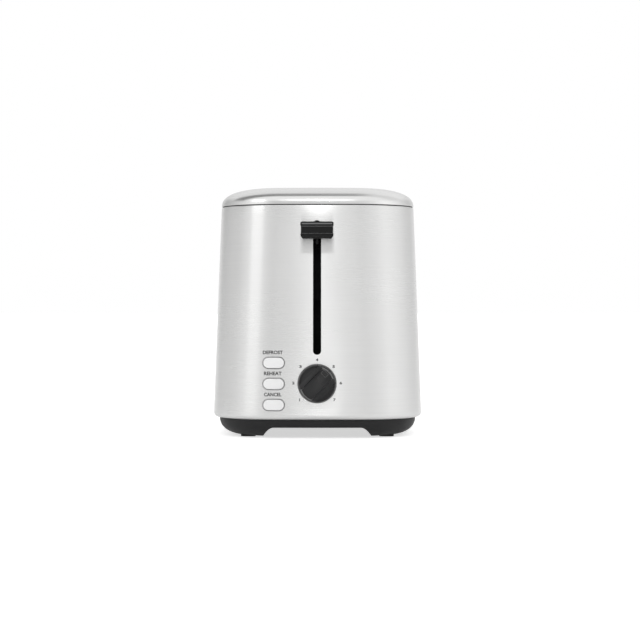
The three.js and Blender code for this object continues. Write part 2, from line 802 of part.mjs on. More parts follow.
// The strip behind the lever slot. It stands along the leaning front wall, measured from the wall's bottom edge.
function slotGuide() {
  const half = 10;
  const ends = [leverSlot.bottom - bodyBottom - 3, leverSlot.top - bodyBottom + 3];
  const y = bodyWall + slide;
  const strip = block([-half, half], [y, y + 1.8], ends);
  const slit = block([-slitWidth / 2, slitWidth / 2], [y - 1, y + 3], [ends[0] + 4, ends[1] - 4]);
  return cut(strip, slit);
}

const bracketHeights = [floorTop + gap, buttonZ.defrost + 7];

function controlBracket() {
  const back = bracketFront + bracketWall;
  const plate = block(bracketX, [bracketFront, back], bracketHeights);
  const footHeights = [bracketHeights[0], bracketHeights[0] + 3];
  const foot = block([bracketX[0] + 8, bracketX[1]], [bracketFront, boardFront], footHeights);
  const posts = bracketPosts.map(([x, z]) => rod([x, back - slide, z], [x, boardFront - gap, z], 2.5, 10));
  const stemHoles = Object.values(buttonZ).map((z) => {
    const [halfX, halfZ] = stemSize.map((size) => size / 2 + slide);
    return block([buttonX - halfX, buttonX + halfX], [bracketFront - 1, back + 1], [z - halfZ, z + halfZ]);
  });
  const shaftHole = rod([0, bracketFront - 1, dialZ], [0, back + 1, dialZ], bushingRadius + gap);
  return cut(join(plate, foot, ...posts), ...stemHoles, shaftHole);
}

const bracketPosts = [
  [bracketX[0] + 20, 62],
  [bracketX[1] - 3, 62],
  [bracketX[1] - 3, 28],
];

function circuitBoard() {
  const heights = [floorTop + 10, buttonZ.defrost + 6.5];
  const board = block([bracketX[0], 46], [boardFront, boardFront + boardWall], heights);
  const holes = bracketPosts.map(([x, z]) => rod([x, boardFront - 1, z], [x, boardFront + 3, z], 1.6, 10));
  return cut(board, ...holes);
}

const potBack = boardFront - gap;
const potFront = bracketFront + bracketWall + gap;
const bushingFront = bracketFront - 3;
const dialBack = wallY(dialZ - dialRadius, -1) - slide;

function browningControl() {
  const body = rod([0, potFront, dialZ], [0, potBack, dialZ], 8.5, 20);
  const bushing = rod([0, bushingFront, dialZ], [0, potFront + 1, dialZ], bushingRadius, 16);
  const bore = rod([0, bushingFront - 1, dialZ], [0, potBack - 2, dialZ], shaftRadius + gap, 16);
  return cut(join(body, bushing), bore);
}

function controlShaft() {
  return rod([0, dialBack - dialSkirt - 2, dialZ], [0, potBack - 3, dialZ], shaftRadius, 16);
}

// The browning dial about its own axis: a skirt with a grip bar across it, pointing up.
function browningDial() {
  const face = dialBack - dialSkirt;
  const skirt = rod([0, dialBack, 0], [0, face, 0], dialRadius, 40, dialRadius - 1.2);
  const half = dialGripWidth / 2;
  const bar = upright(
    polygon([
      [-half, -dialRadius],
      [half, -dialRadius],
      [half, dialRadius],
      [-half, dialRadius],
    ]),
    [face - dialGrip, face + 1],
  );
  const round = rod([0, face + 2, 0], [0, face - dialGrip - 1, 0], dialRadius - 1.2, 40, dialRadius - 3);
  const bore = rod([0, dialBack + 1, 0], [0, face - 2 - gap, 0], shaftRadius + gap, 16);
  return cut(join(skirt, common(bar, round)), bore);
}

// A push button about the middle of its cap, with y from the steel's outer face inwards.
function pushButton(z) {
  const [width, height] = buttonSize;
  const flange = [width / 2 + 2, height / 2 + 1.5];
  const wallFall = wallY(z, -1, buttonX - flange[0]) - wallY(z, -1, buttonX) + draft * flange[1];
  const shoulderFront = bodyWall + wallFall + slide;
  const face = roundedRectangle(width, height, height / 2 - 0.01);
  const cap = upright(face, [-buttonProud, shoulderFront + slide]);
  const shoulderDepth = [shoulderFront, shoulderFront + 1.3];
  const shoulder = block([-flange[0], flange[0]], shoulderDepth, [-flange[1], flange[1]]);
  const [halfX, halfZ] = stemSize.map((size) => size / 2);
  const stemEnd = plungerFront - gap - wallY(z, -1, buttonX);
  const stem = block([-halfX, halfX], [1, stemEnd], [-halfZ, halfZ]);
  return join(cap, shoulder, stem);
}

const switchFront = boardFront - gap - switchDepth;
const plungerFront = switchFront - plungerOut;

function tactSwitch() {
  const back = boardFront - gap;
  const body = block([-switchHalf, switchHalf], [switchFront, back], [-switchHalf, switchHalf]);
  return cut(body, rod([0, switchFront - 1, 0], [0, back - 0.4, 0], plungerRadius + gap, 12));
}

function switchPlunger() {
  const inside = switchDepth - 0.4 - buttonTravel - gap;
  return rod([0, plungerFront, 0], [0, switchFront + inside, 0], plungerRadius, 12);
}

// ---------------------------------------------------------------- magnet and contacts

const magnetMiddle = [keeperX, rodPlace[1] - 6];
const magnetBottom = magnetShelf + gap;
const magnetTop = magnetBottom + magnetHeight;

// An E-shaped iron core, open at the top.
function magnetCore() {
  const [x, y] = magnetMiddle;
  const depth = [y - 6, y + 6];
  const yoke = block([x - 9, x + 9], depth, [magnetBottom, magnetBottom + 4]);
  const legs = [
    [-9, -6],
    [-2, 2],
    [6, 9],
  ].map(([from, to]) => block([x + from, x + to], depth, [magnetBottom + 3, magnetTop]));
  return join(yoke, ...legs);
}

function magnetCoil() {
  const [x, y] = magnetMiddle;
  const heights = [magnetBottom + 4 + gap, magnetTop - 1.5];
  const bobbin = flat(roundedRectangle(2 * 5.6, 20, 3), heights).translate(x, y, 0);
  const half = 2 + gap;
  const bore = block([x - half, x + half], [y - 6 - gap, y + 6 + gap], [heights[0] - 1, heights[1] + 1]);
  return cut(bobbin, bore);
}

const contactTop = pusherBottom - leverTravel - gap;

function contactBlock() {
  const ys = [boardFront + boardWall + gap, rodPlace[1] - 6];
  return block([pusherX[0] - 3, pusherX[1] + 3], ys, [magnetShelf + 4, contactTop - 4]);
}

// A spring contact: a strip standing in the block, with its free end folded forwards under the pusher.
function contactBlade() {
  const y = boardFront + boardWall + 4;
  const upper = contactTop;
  const post = block([-2, 2], [y, y + bladeWall], [contactTop - 4 + gap, upper]);
  const arm = block([-2, 2], [y, rodPlace[1] - 2], [upper - bladeWall, upper]);
  return join(post, arm);
}

// ---------------------------------------------------------------- crumb tray

const trayRear = wallY(bodyBottom, 1, trayHalfWidth, baseInset + baseWall + bowlAllowance) - slide;

function crumbTray() {
  const tray = block([-trayHalfWidth, trayHalfWidth], [chamberFront + 2, trayRear], [trayBottom, trayTop]);
  const hollow = block(
    [-trayHalfWidth + trayWall, trayHalfWidth - trayWall],
    [chamberFront + 2 + trayWall, trayRear - trayWall],
    [trayBottom + trayWall, trayTop + 1],
  );
  return cut(tray, hollow);
}

// A curved front that closes the window in the base, with a ledge to pull on.
function trayHandle() {
  const half = trayHalfWidth + handleMargin;
  const heights = [trayBottom, trayTop - gap];
  const front = common(
    bowl(0, baseBottom, baseRimTop),
    block([-half, half], [baseRear - cornerRadius / 2 + 1, bodyLength], heights),
  );
  const band = cut(front, bowl(baseWall, baseBottom, baseRimTop + slide));
  const link = block([-trayHalfWidth, trayHalfWidth], [trayRear + gap, baseRear - baseWall], heights);
  const ledge = block([-20, 20], [baseRear - 1.5, baseRear + 2.6], [trayBottom + 0.6, trayTop - gap - 0.4]);
  return join(band, link, ledge);
}

// ---------------------------------------------------------------- feet and screws

function footPad() {
  return flat(roundedRectangle(padSize[0], padSize[1], padCorner), [0, padHeight], 2);
}

function baseScrew() {
  const headTop = footFloor - slide - gap;
  const head = rod([0, 0, headTop - screwHeadHeight], [0, 0, headTop], screwHeadRadius, 16);
  return join(head, rod([0, 0, headTop - 0.5], [0, 0, screwTip], screwRadius, 10));
}

// ---------------------------------------------------------------- materials and assembly

function finish(color, roughness, metalness) {
  return new THREE.MeshStandardMaterial({ color, roughness, metalness });
}

const finishes = {
  brushedSteel: finish(0xc9cacb, 0.32, 1),
  coverSteel: finish(0xd2d3d4, 0.22, 1),
  innerSteel: finish(0xa9abad, 0.4, 1),
  blackPlastic: finish(0x1d1e1f, 0.45, 0),
  glossBlack: finish(0x101011, 0.25, 0),
  rubber: finish(0x0c0c0c, 0.8, 0),
  silverPlastic: finish(0xe4e5e6, 0.35, 0.4),
  mica: finish(0xb59a6a, 0.6, 0),
  nichrome: finish(0x6d665f, 0.45, 1),
  board: finish(0x8a6a3a, 0.6, 0),
  copper: finish(0xb4653a, 0.35, 1),
  iron: finish(0x77797c, 0.45, 1),
};

function named(name, geometry, material, position = [0, 0, 0]) {
  const mesh = new THREE.Mesh(geometry, material);
  mesh.name = name;
  mesh.position.set(...position);
  return mesh;
}

function groupOf(...children) {
  const group = new THREE.Group();
  group.add(...children);
  return group;
}

function cornerName([x, y]) {
  return `${y < 0 ? "front" : "rear"}_${x < 0 ? "left" : "right"}`;
}

function housing() {
  const panel = groupOf(named("slot_guide", slotGuide(), finishes.blackPlastic));
  panel.position.set(0, wallY(bodyBottom, -1), bodyBottom);
  panel.rotation.x = -Math.atan(draft);
  const pads = fourCorners.map((corner) => {
    const place = [corner[0] * padPlace[0], corner[1] * padPlace[1], 0];
    return named(`foot_${cornerName(corner)}`, footPad(), finishes.rubber, place);
  });
  const screws = fourCorners.map((corner) => {
    const place = [corner[0] * postPlace[0], corner[1] * postPlace[1], 0];
    return named(`base_screw_${cornerName(corner)}`, baseScrew(), finishes.iron, place);
  });
  return groupOf(
    named("body_shell", bodyShell(), finishes.brushedSteel),
    named("top_cover", topCover(), finishes.coverSteel),
    named("base", base(), finishes.blackPlastic),
    named("cord_gland", cordGland(), finishes.blackPlastic),
    panel,
    ...pads,
    ...screws,
  );
}

function chamber() {
  const cards = Object.entries(cardXs).flatMap(([side, x]) => [
    named(`heater_card_${side}`, heaterCard(), finishes.mica, [x, 0, 0]),
    named(`heating_ribbon_${side}`, heatingRibbon(), finishes.nichrome, [x, 0, 0]),
  ]);
  const guides = Object.entries(guideXs).map(([place, [x, side]]) =>
    named(`bread_guide_${place}`, breadGuide(), finishes.innerSteel, [x + side * guideOffset, 0, 0]),
  );
  return groupOf(
    named("chamber_front_plate", chamberFrontPlate(), finishes.innerSteel),
    named("chamber_rear_plate", chamberRearPlate(), finishes.innerSteel),
    named("chamber_left_wall", chamberSideWall(-1), finishes.innerSteel),
    named("chamber_right_wall", chamberSideWall(1), finishes.innerSteel),
    named("slot_frame", slotFrame(), finishes.innerSteel),
    ...cards,
    ...guides,
  );
}

function leverCarriage() {
  return groupOf(
    named("lever_knob", leverKnob(), finishes.glossBlack),
    named("lever_arm", leverArm(), finishes.innerSteel),
    named("carriage_plate", carriagePlate(), finishes.innerSteel),
    named("carriage_bush", carriageBush(), finishes.blackPlastic),
    named("keeper_plate", keeperPlate(), finishes.iron),
    named("contact_pusher", contactPusher(), finishes.blackPlastic),
    named("bread_rack_left", breadRack(), finishes.innerSteel, [rackXs[0], 0, 0]),
    named("bread_rack_right", breadRack(), finishes.innerSteel, [rackXs[1], 0, 0]),
    named("guide_rod", guideRod(), finishes.iron),
    named("return_spring", returnSpring(), finishes.iron),
  );
}

function controls() {
  const dial = named("browning_dial", browningDial(), finishes.glossBlack, [0, 0, dialZ]);
  dial.rotation.y = THREE.MathUtils.degToRad(dialRestAngle);
  const keys = Object.entries(buttonZ).flatMap(([key, z]) => [
    named(`${key}_button`, pushButton(z), finishes.silverPlastic, [buttonX, wallY(z, -1, buttonX), z]),
    named(`${key}_switch`, tactSwitch(), finishes.blackPlastic, [buttonX, 0, z]),
    named(`${key}_plunger`, switchPlunger(), finishes.silverPlastic, [buttonX, 0, z]),
  ]);
  return groupOf(
    named("control_bracket", controlBracket(), finishes.blackPlastic),
    named("circuit_board", circuitBoard(), finishes.board),
    named("browning_control", browningControl(), finishes.innerSteel),
    named("control_shaft", controlShaft(), finishes.iron),
    named("magnet_core", magnetCore(), finishes.iron),
    named("magnet_coil", magnetCoil(), finishes.copper),
    named("contact_block", contactBlock(), finishes.blackPlastic),
    named("contact_blade_live", contactBlade(), finishes.copper, [bladeXs.live, 0, 0]),
    named("contact_blade_neutral", contactBlade(), finishes.copper, [bladeXs.neutral, 0, 0]),
    dial,
    ...keys,
  );
}

function tray() {
  return groupOf(
    named("crumb_tray", crumbTray(), finishes.innerSteel),
    named("crumb_tray_handle", trayHandle(), finishes.blackPlastic),
  );
}

const toaster = groupOf(housing(), chamber(), leverCarriage(), controls(), tray());

// The dial reaches out further in front than the cord gland does at the rear, so the whole toaster is moved to
// stand over the origin.
const extent = new THREE.Box3().setFromObject(toaster);
toaster.position.y = -(extent.min.y + extent.max.y) / 2;

export default toaster;
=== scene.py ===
# A two-slice pop-up toaster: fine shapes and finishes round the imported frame.
# Metres. The control end faces -Y, and the table top is z = 0. Sizes in the dictionaries are millimetres.

import math

import bmesh
import bpy
from mathutils import Matrix, Vector


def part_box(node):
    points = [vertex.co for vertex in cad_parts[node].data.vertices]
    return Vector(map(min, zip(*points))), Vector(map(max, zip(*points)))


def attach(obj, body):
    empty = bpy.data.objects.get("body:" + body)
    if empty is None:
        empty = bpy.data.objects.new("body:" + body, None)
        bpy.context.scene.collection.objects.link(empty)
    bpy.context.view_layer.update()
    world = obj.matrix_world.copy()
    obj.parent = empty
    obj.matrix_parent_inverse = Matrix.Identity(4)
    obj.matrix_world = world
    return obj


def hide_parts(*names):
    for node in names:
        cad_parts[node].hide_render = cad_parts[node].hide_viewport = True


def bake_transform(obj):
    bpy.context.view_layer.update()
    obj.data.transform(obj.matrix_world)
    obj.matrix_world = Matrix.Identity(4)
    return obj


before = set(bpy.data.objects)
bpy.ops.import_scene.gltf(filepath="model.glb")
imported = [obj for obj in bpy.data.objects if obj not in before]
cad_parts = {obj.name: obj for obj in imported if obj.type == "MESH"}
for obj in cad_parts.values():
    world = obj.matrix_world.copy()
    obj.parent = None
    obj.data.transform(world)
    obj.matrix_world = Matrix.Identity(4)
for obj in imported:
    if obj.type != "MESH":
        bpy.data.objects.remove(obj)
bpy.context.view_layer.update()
mm = 0.001
scene = bpy.context.scene
print("frame loaded:", len(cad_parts), "nodes")

# The steel housing. Its walls lean in by lean for each millimetre of height.
housing = {
    "width": 172, "length": 286, "bottom": 15.3, "top": 187.6, "wall": 0.8, "lean": 0.0375,
    "corner": 48, "tightest": 3, "bow": 3, "roll": 4, "flange": 2.4, "bend": 1,
}
shellLow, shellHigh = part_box("body_shell")
middleY = (shellLow.y + shellHigh.y) / 2 / mm


# camera, light and table

camera = bpy.data.objects.new("camera", bpy.data.cameras.new("camera"))
scene.collection.objects.link(camera)
camera.data.lens = 91.7
camera.data.sensor_width = 36
camera.data.clip_end = 60
camera.location = (0.0110, -1.437, 0.1065)
aim = Vector((0.00145, 0, 0.0940)) - camera.location
camera.rotation_euler = aim.to_track_quat("-Z", "Y").to_euler()
scene.camera = camera
scene.view_settings.view_transform = "Standard"
scene.view_settings.look = "None"


def addNode(tree, kind, **values):
    node = tree.nodes.new(kind)
    for name, value in values.items():
        setattr(node, name, value)
    return node


def mathNode(tree, operation, *values):
    # a Math node, fed by sockets or plain numbers
    node = addNode(tree, "ShaderNodeMath", operation=operation)
    for socket, value in zip(node.inputs, values):
        if isinstance(value, (int, float)):
            socket.default_value = value
        else:
            tree.links.new(value, socket)
    return node.outputs[0]


def rampNode(tree, source, stops, interpolation="EASE"):
    # a grey ramp through (position, level) stops
    node = addNode(tree, "ShaderNodeValToRGB")
    node.color_ramp.interpolation = interpolation
    elements = node.color_ramp.elements
    elements[0].position, elements[1].position = stops[0][0], stops[-1][0]
    for position, _ in stops[1:-1]:
        elements.new(position)
    for element, (_, level) in zip(elements, stops):
        element.color = (level, level, level, 1)
    tree.links.new(source, node.inputs[0])
    return node.outputs[0]


# Soft white light from a studio tent. Low down its brightness goes round with the compass. Overhead it goes
# from front to rear, with a darker gap between the panels.
studio = {
    "strength": 1.0, "camera": 1.0,
    "compass": [
        (-180, 0.84), (-152, 0.72), (-135, 0.52), (-112, 0.62), (-88, 0.78), (-68, 0.95), (-51, 1.1),
        (-34, 0.98), (-20, 0.76), (-9, 0.66), (-4, 0.68), (-1.5, 0.78), (1.5, 0.82), (4, 0.8), (12, 0.78),
        (26, 0.86), (42, 0.98), (60, 1.18), (78, 1.12), (96, 0.98), (115, 0.78), (135, 0.68), (152, 0.78),
        (180, 0.84),
    ],
    "overhead": [
        (-1, 1.0), (-0.3, 1.05), (-0.16, 0.95), (-0.06, 0.28), (0.32, 0.28), (0.42, 0.88), (1, 0.92),
    ],
    "gapFade": [(-1, 0), (-0.05, 0), (0.35, 0.75), (1, 0.8)],
    "overheadFrom": (0.3, 0.6),
}


def studioWorld():
    world = bpy.data.worlds.new("studio")
    world.use_nodes = True
    scene.world = world
    tree = world.node_tree
    tree.nodes.clear()
    towards = addNode(tree, "ShaderNodeTexCoord").outputs["Generated"]
    split = addNode(tree, "ShaderNodeSeparateXYZ")
    tree.links.new(towards, split.inputs[0])
    x, y, z = split.outputs

    def halved(value, scale=0.5):
        return mathNode(tree, "MULTIPLY_ADD", value, scale, 0.5)

    turn = halved(mathNode(tree, "ARCTAN2", x, mathNode(tree, "MULTIPLY", y, -1)), 0.5 / math.pi)
    compass = rampNode(tree, turn, [((a + 180) / 360, level) for a, level in studio["compass"]], "LINEAR")
    overhead = rampNode(tree, halved(y), [((a + 1) / 2, level) for a, level in studio["overhead"]], "LINEAR")
    fade = rampNode(tree, halved(x), [((a + 1) / 2, level) for a, level in studio["gapFade"]], "LINEAR")
    filled = addNode(tree, "ShaderNodeMix")
    tree.links.new(fade, filled.inputs[0])
    tree.links.new(overhead, filled.inputs[2])
    filled.inputs[3].default_value = 1
    low, high = studio["overheadFrom"]
    upwards = rampNode(tree, z, [(0, 0), (low, 0), (high, 1), (1, 1)])
    product = addNode(tree, "ShaderNodeMix")
    tree.links.new(upwards, product.inputs[0])
    tree.links.new(compass, product.inputs[2])
    tree.links.new(filled.outputs[0], product.inputs[3])
    lit = addNode(tree, "ShaderNodeBackground")
    lit.inputs["Strength"].default_value = studio["strength"]
    tree.links.new(product.outputs[0], lit.inputs["Color"])
    plain = addNode(tree, "ShaderNodeBackground")
    plain.inputs["Strength"].default_value = studio["camera"]
    plain.inputs["Color"].default_value = (1, 1, 1, 1)
    either = addNode(tree, "ShaderNodeMixShader")
    tree.links.new(addNode(tree, "ShaderNodeLightPath").outputs["Is Camera Ray"], either.inputs[0])
    tree.links.new(lit.outputs[0], either.inputs[1])
    tree.links.new(plain.outputs[0], either.inputs[2])
    tree.links.new(either.outputs[0], addNode(tree, "ShaderNodeOutputWorld").inputs[0])


def softLight(name, place, target, size, watts):
    light = bpy.data.objects.new(name, bpy.data.lights.new(name, "AREA"))
    light.data.shape = "RECTANGLE"
    light.data.size, light.data.size_y = size
    light.data.energy = watts
    light.location = place
    light.rotation_euler = (Vector(target) - Vector(place)).to_track_quat("-Z", "Y").to_euler()
    light.visible_camera = False
    scene.collection.objects.link(light)


studioWorld()
softLight("keyLight", (-1.3, -1.25, 1.1), (0, 0, 0.12), (0.8, 0.6), 2)
softLight("frontLamp", (0, -0.40, 0.37), (0, -0.137, 0.15), (0.02, 0.03), 0.065)
softLight("lowLamp", (0.002, -0.42, 0.012), (0.002, -0.137, 0.02), (0.05, 0.03), 0.012)


# shader groups and finishes


def newGroup(name, inputs, outputs):
    group = bpy.data.node_groups.new(name, "ShaderNodeTree")
    for label, kind, value in inputs:
        socket = group.interface.new_socket(name=label, in_out="INPUT", socket_type="NodeSocket" + kind)
        socket.default_value = value
    for label, kind in outputs:
        group.interface.new_socket(name=label, in_out="OUTPUT", socket_type="NodeSocket" + kind)
    return group, addNode(group, "NodeGroupInput"), addNode(group, "NodeGroupOutput")


def noiseNode(tree, vector, detail):
    node = addNode(tree, "ShaderNodeTexNoise")
    node.inputs["Scale"].default_value = 1
    node.inputs["Detail"].default_value = detail
    node.inputs["Roughness"].default_value = 0.55
    tree.links.new(vector, node.inputs["Vector"])
    return node.outputs[0]


def scaledVector(tree, vector, scale):
    node = addNode(tree, "ShaderNodeVectorMath", operation="MULTIPLY")
    tree.links.new(vector, node.inputs[0])
    if isinstance(scale, tuple):
        node.inputs[1].default_value = scale
    else:
        tree.links.new(scale, node.inputs[1])
    return node.outputs[0]


def mapRange(tree, value, low, high, fromLow=0.3, fromHigh=0.7):
    node = addNode(tree, "ShaderNodeMapRange")
    tree.links.new(value, node.inputs["Value"])
    for label, number in (("From Min", fromLow), ("From Max", fromHigh), ("To Min", low), ("To Max", high)):
        node.inputs[label].default_value = number
    return node.outputs[0]


def makeStreaks():
    # Fine parallel brush lines: hairlines and wider lines, stretched by Stretch, and slow drifts.
    group, inlet, outlet = newGroup(
        "brushLines",
        [("Vector", "Vector", (0, 0, 0)), ("Stretch", "Vector", (60, 60, 4000)), ("Share", "Float", 0.5)],
        [("Lines", "Float"), ("Drift", "Float")],
    )
    fine = noiseNode(group, scaledVector(group, inlet.outputs["Vector"], inlet.outputs["Stretch"]), 4)
    halved = scaledVector(group, inlet.outputs["Stretch"], (0.35, 0.35, 0.22))
    wide = noiseNode(group, scaledVector(group, inlet.outputs["Vector"], halved), 2)
    slow = noiseNode(group, scaledVector(group, inlet.outputs["Vector"], (9, 9, 14)), 2)
    mixed = addNode(group, "ShaderNodeMix")
    group.links.new(inlet.outputs["Share"], mixed.inputs[0])
    group.links.new(wide, mixed.inputs[2])
    group.links.new(fine, mixed.inputs[3])
    group.links.new(mixed.outputs[0], outlet.inputs["Lines"])
    group.links.new(slow, outlet.inputs["Drift"])
    return group


def makeGrain():
    # Moulded or cast surface: small bumps, and slow blotches for colour and gloss.
    group, inlet, outlet = newGroup(
        "surfaceGrain",
        [("Vector", "Vector", (0, 0, 0)), ("Grain", "Float", 1800.0), ("Blotch", "Float", 40.0)],
        [("Grain", "Float"), ("Blotch", "Float"), ("Specks", "Float")],
    )
    for label, detail in (("Grain", 2), ("Blotch", 3)):
        scale = addNode(group, "ShaderNodeVectorMath", operation="SCALE")
        group.links.new(inlet.outputs["Vector"], scale.inputs[0])
        group.links.new(inlet.outputs[label], scale.inputs["Scale"])
        group.links.new(noiseNode(group, scale.outputs[0], detail), outlet.inputs[label])
    cells = addNode(group, "ShaderNodeTexVoronoi")
    group.links.new(inlet.outputs["Vector"], cells.inputs["Vector"])
    group.links.new(mathNode(group, "MULTIPLY", inlet.outputs["Grain"], 0.5), cells.inputs["Scale"])
    group.links.new(cells.outputs["Distance"], outlet.inputs["Specks"])
    return group


def makePlates():
    # Overlapping flat crystals, for zinc spangle and mica flakes: each has its own tone and tilt.
    group, inlet, outlet = newGroup(
        "crystalPlates",
        [("Vector", "Vector", (0, 0, 0)), ("Size", "Float", 120.0)],
        [("Tone", "Float"), ("Edge", "Float")],
    )
    bend = noiseNode(group, scaledVector(group, inlet.outputs["Vector"], (260, 260, 260)), 2)
    moved = addNode(group, "ShaderNodeVectorMath", operation="MULTIPLY_ADD")
    group.links.new(bend, moved.inputs[0])
    moved.inputs[1].default_value = (0.002, 0.002, 0.002)
    group.links.new(inlet.outputs["Vector"], moved.inputs[2])
    for feature, label, outName in (("F1", "Tone", "Color"), ("DISTANCE_TO_EDGE", "Edge", "Distance")):
        cells = addNode(group, "ShaderNodeTexVoronoi", feature=feature)
        group.links.new(moved.outputs[0], cells.inputs["Vector"])
        group.links.new(inlet.outputs["Size"], cells.inputs["Scale"])
        if outName == "Color":
            split = addNode(group, "ShaderNodeSeparateColor")
            group.links.new(cells.outputs["Color"], split.inputs[0])
            group.links.new(split.outputs[0], outlet.inputs[label])
        else:
            group.links.new(cells.outputs["Distance"], outlet.inputs[label])
    return group


brushLines = makeStreaks()
surfaceGrain = makeGrain()
crystalPlates = makePlates()


def startMaterial(name, metallic, **constants):
    # a Principled material; constants are set straight on the shader
    material = bpy.data.materials.new(name)
    material.use_nodes = True
    tree = material.node_tree
    shader = tree.nodes["Principled BSDF"]
    shader.inputs["Metallic"].default_value = metallic
    for label, value in constants.items():
        shader.inputs[label.replace("_", " ")].default_value = value
    place = addNode(tree, "ShaderNodeTexCoord").outputs["Object"]
    return material, tree, shader, place


def groupNode(tree, group, place, **values):
    node = addNode(tree, "ShaderNodeGroup", node_tree=group)
    tree.links.new(place, node.inputs["Vector"])
    for label, value in values.items():
        node.inputs[label].default_value = value
    return node


def mixColour(tree, mask, first, second, target):
    node = addNode(tree, "ShaderNodeMix", data_type="RGBA")
    tree.links.new(mask, node.inputs["Factor"])
    node.inputs[6].default_value = (*first, 1)
    node.inputs[7].default_value = (*second, 1)
    tree.links.new(node.outputs[2], target)


def bumpNode(tree, shader, height, strength, distance):
    bump = addNode(tree, "ShaderNodeBump")
    bump.inputs["Strength"].default_value = strength
    bump.inputs["Distance"].default_value = distance
    tree.links.new(height, bump.inputs["Height"])
    tree.links.new(bump.outputs[0], shader.inputs["Normal"])


def brushedMetal(name, dark, light, rough, stretch, bump, share=0.5, **constants):
    material, tree, shader, place = startMaterial(name, 1, **constants)
    lines = groupNode(tree, brushLines, place, Stretch=stretch, Share=share)
    mask = mapRange(tree, lines.outputs["Lines"], 0, 1)
    mixColour(tree, mask, dark, light, shader.inputs["Base Color"])
    slow = mapRange(tree, lines.outputs["Drift"], -0.02, 0.02)
    gloss = mapRange(tree, mask, rough[1], rough[0], 0, 1)
    tree.links.new(mathNode(tree, "ADD", gloss, slow), shader.inputs["Roughness"])
    bumpNode(tree, shader, lines.outputs["Lines"], bump, 0.00002)
    return material


def mouldedPlastic(name, dark, light, rough, grain, bump, **constants):
    material, tree, shader, place = startMaterial(name, 0, **constants)
    grains = groupNode(tree, surfaceGrain, place, Grain=grain, Blotch=45.0)
    mixColour(tree, mapRange(tree, grains.outputs["Grain"], 0, 1), dark, light, shader.inputs["Base Color"])
    tree.links.new(mapRange(tree, grains.outputs["Blotch"], *rough), shader.inputs["Roughness"])
    height = mathNode(tree, "ADD", grains.outputs["Grain"], grains.outputs["Specks"])
    bumpNode(tree, shader, height, bump, 0.00006)
    return material


def platedSheet(name, dark, light, rough, size, metallic, bump, **constants):
    material, tree, shader, place = startMaterial(name, metallic, **constants)
    plates = groupNode(tree, crystalPlates, place, Size=size)
    lines = groupNode(tree, surfaceGrain, place, Grain=900.0, Blotch=25.0)
    blotch = mapRange(tree, lines.outputs["Blotch"], 0, 0.3)
    tone = mathNode(tree, "MULTIPLY_ADD", plates.outputs["Tone"], 0.7, blotch)
    mixColour(tree, tone, dark, light, shader.inputs["Base Color"])
    tree.links.new(mapRange(tree, plates.outputs["Tone"], *rough, 0, 1), shader.inputs["Roughness"])
    height = mathNode(tree, "ADD", plates.outputs["Edge"], lines.outputs["Grain"])
    bumpNode(tree, shader, height, bump, 0.00004)
    return material


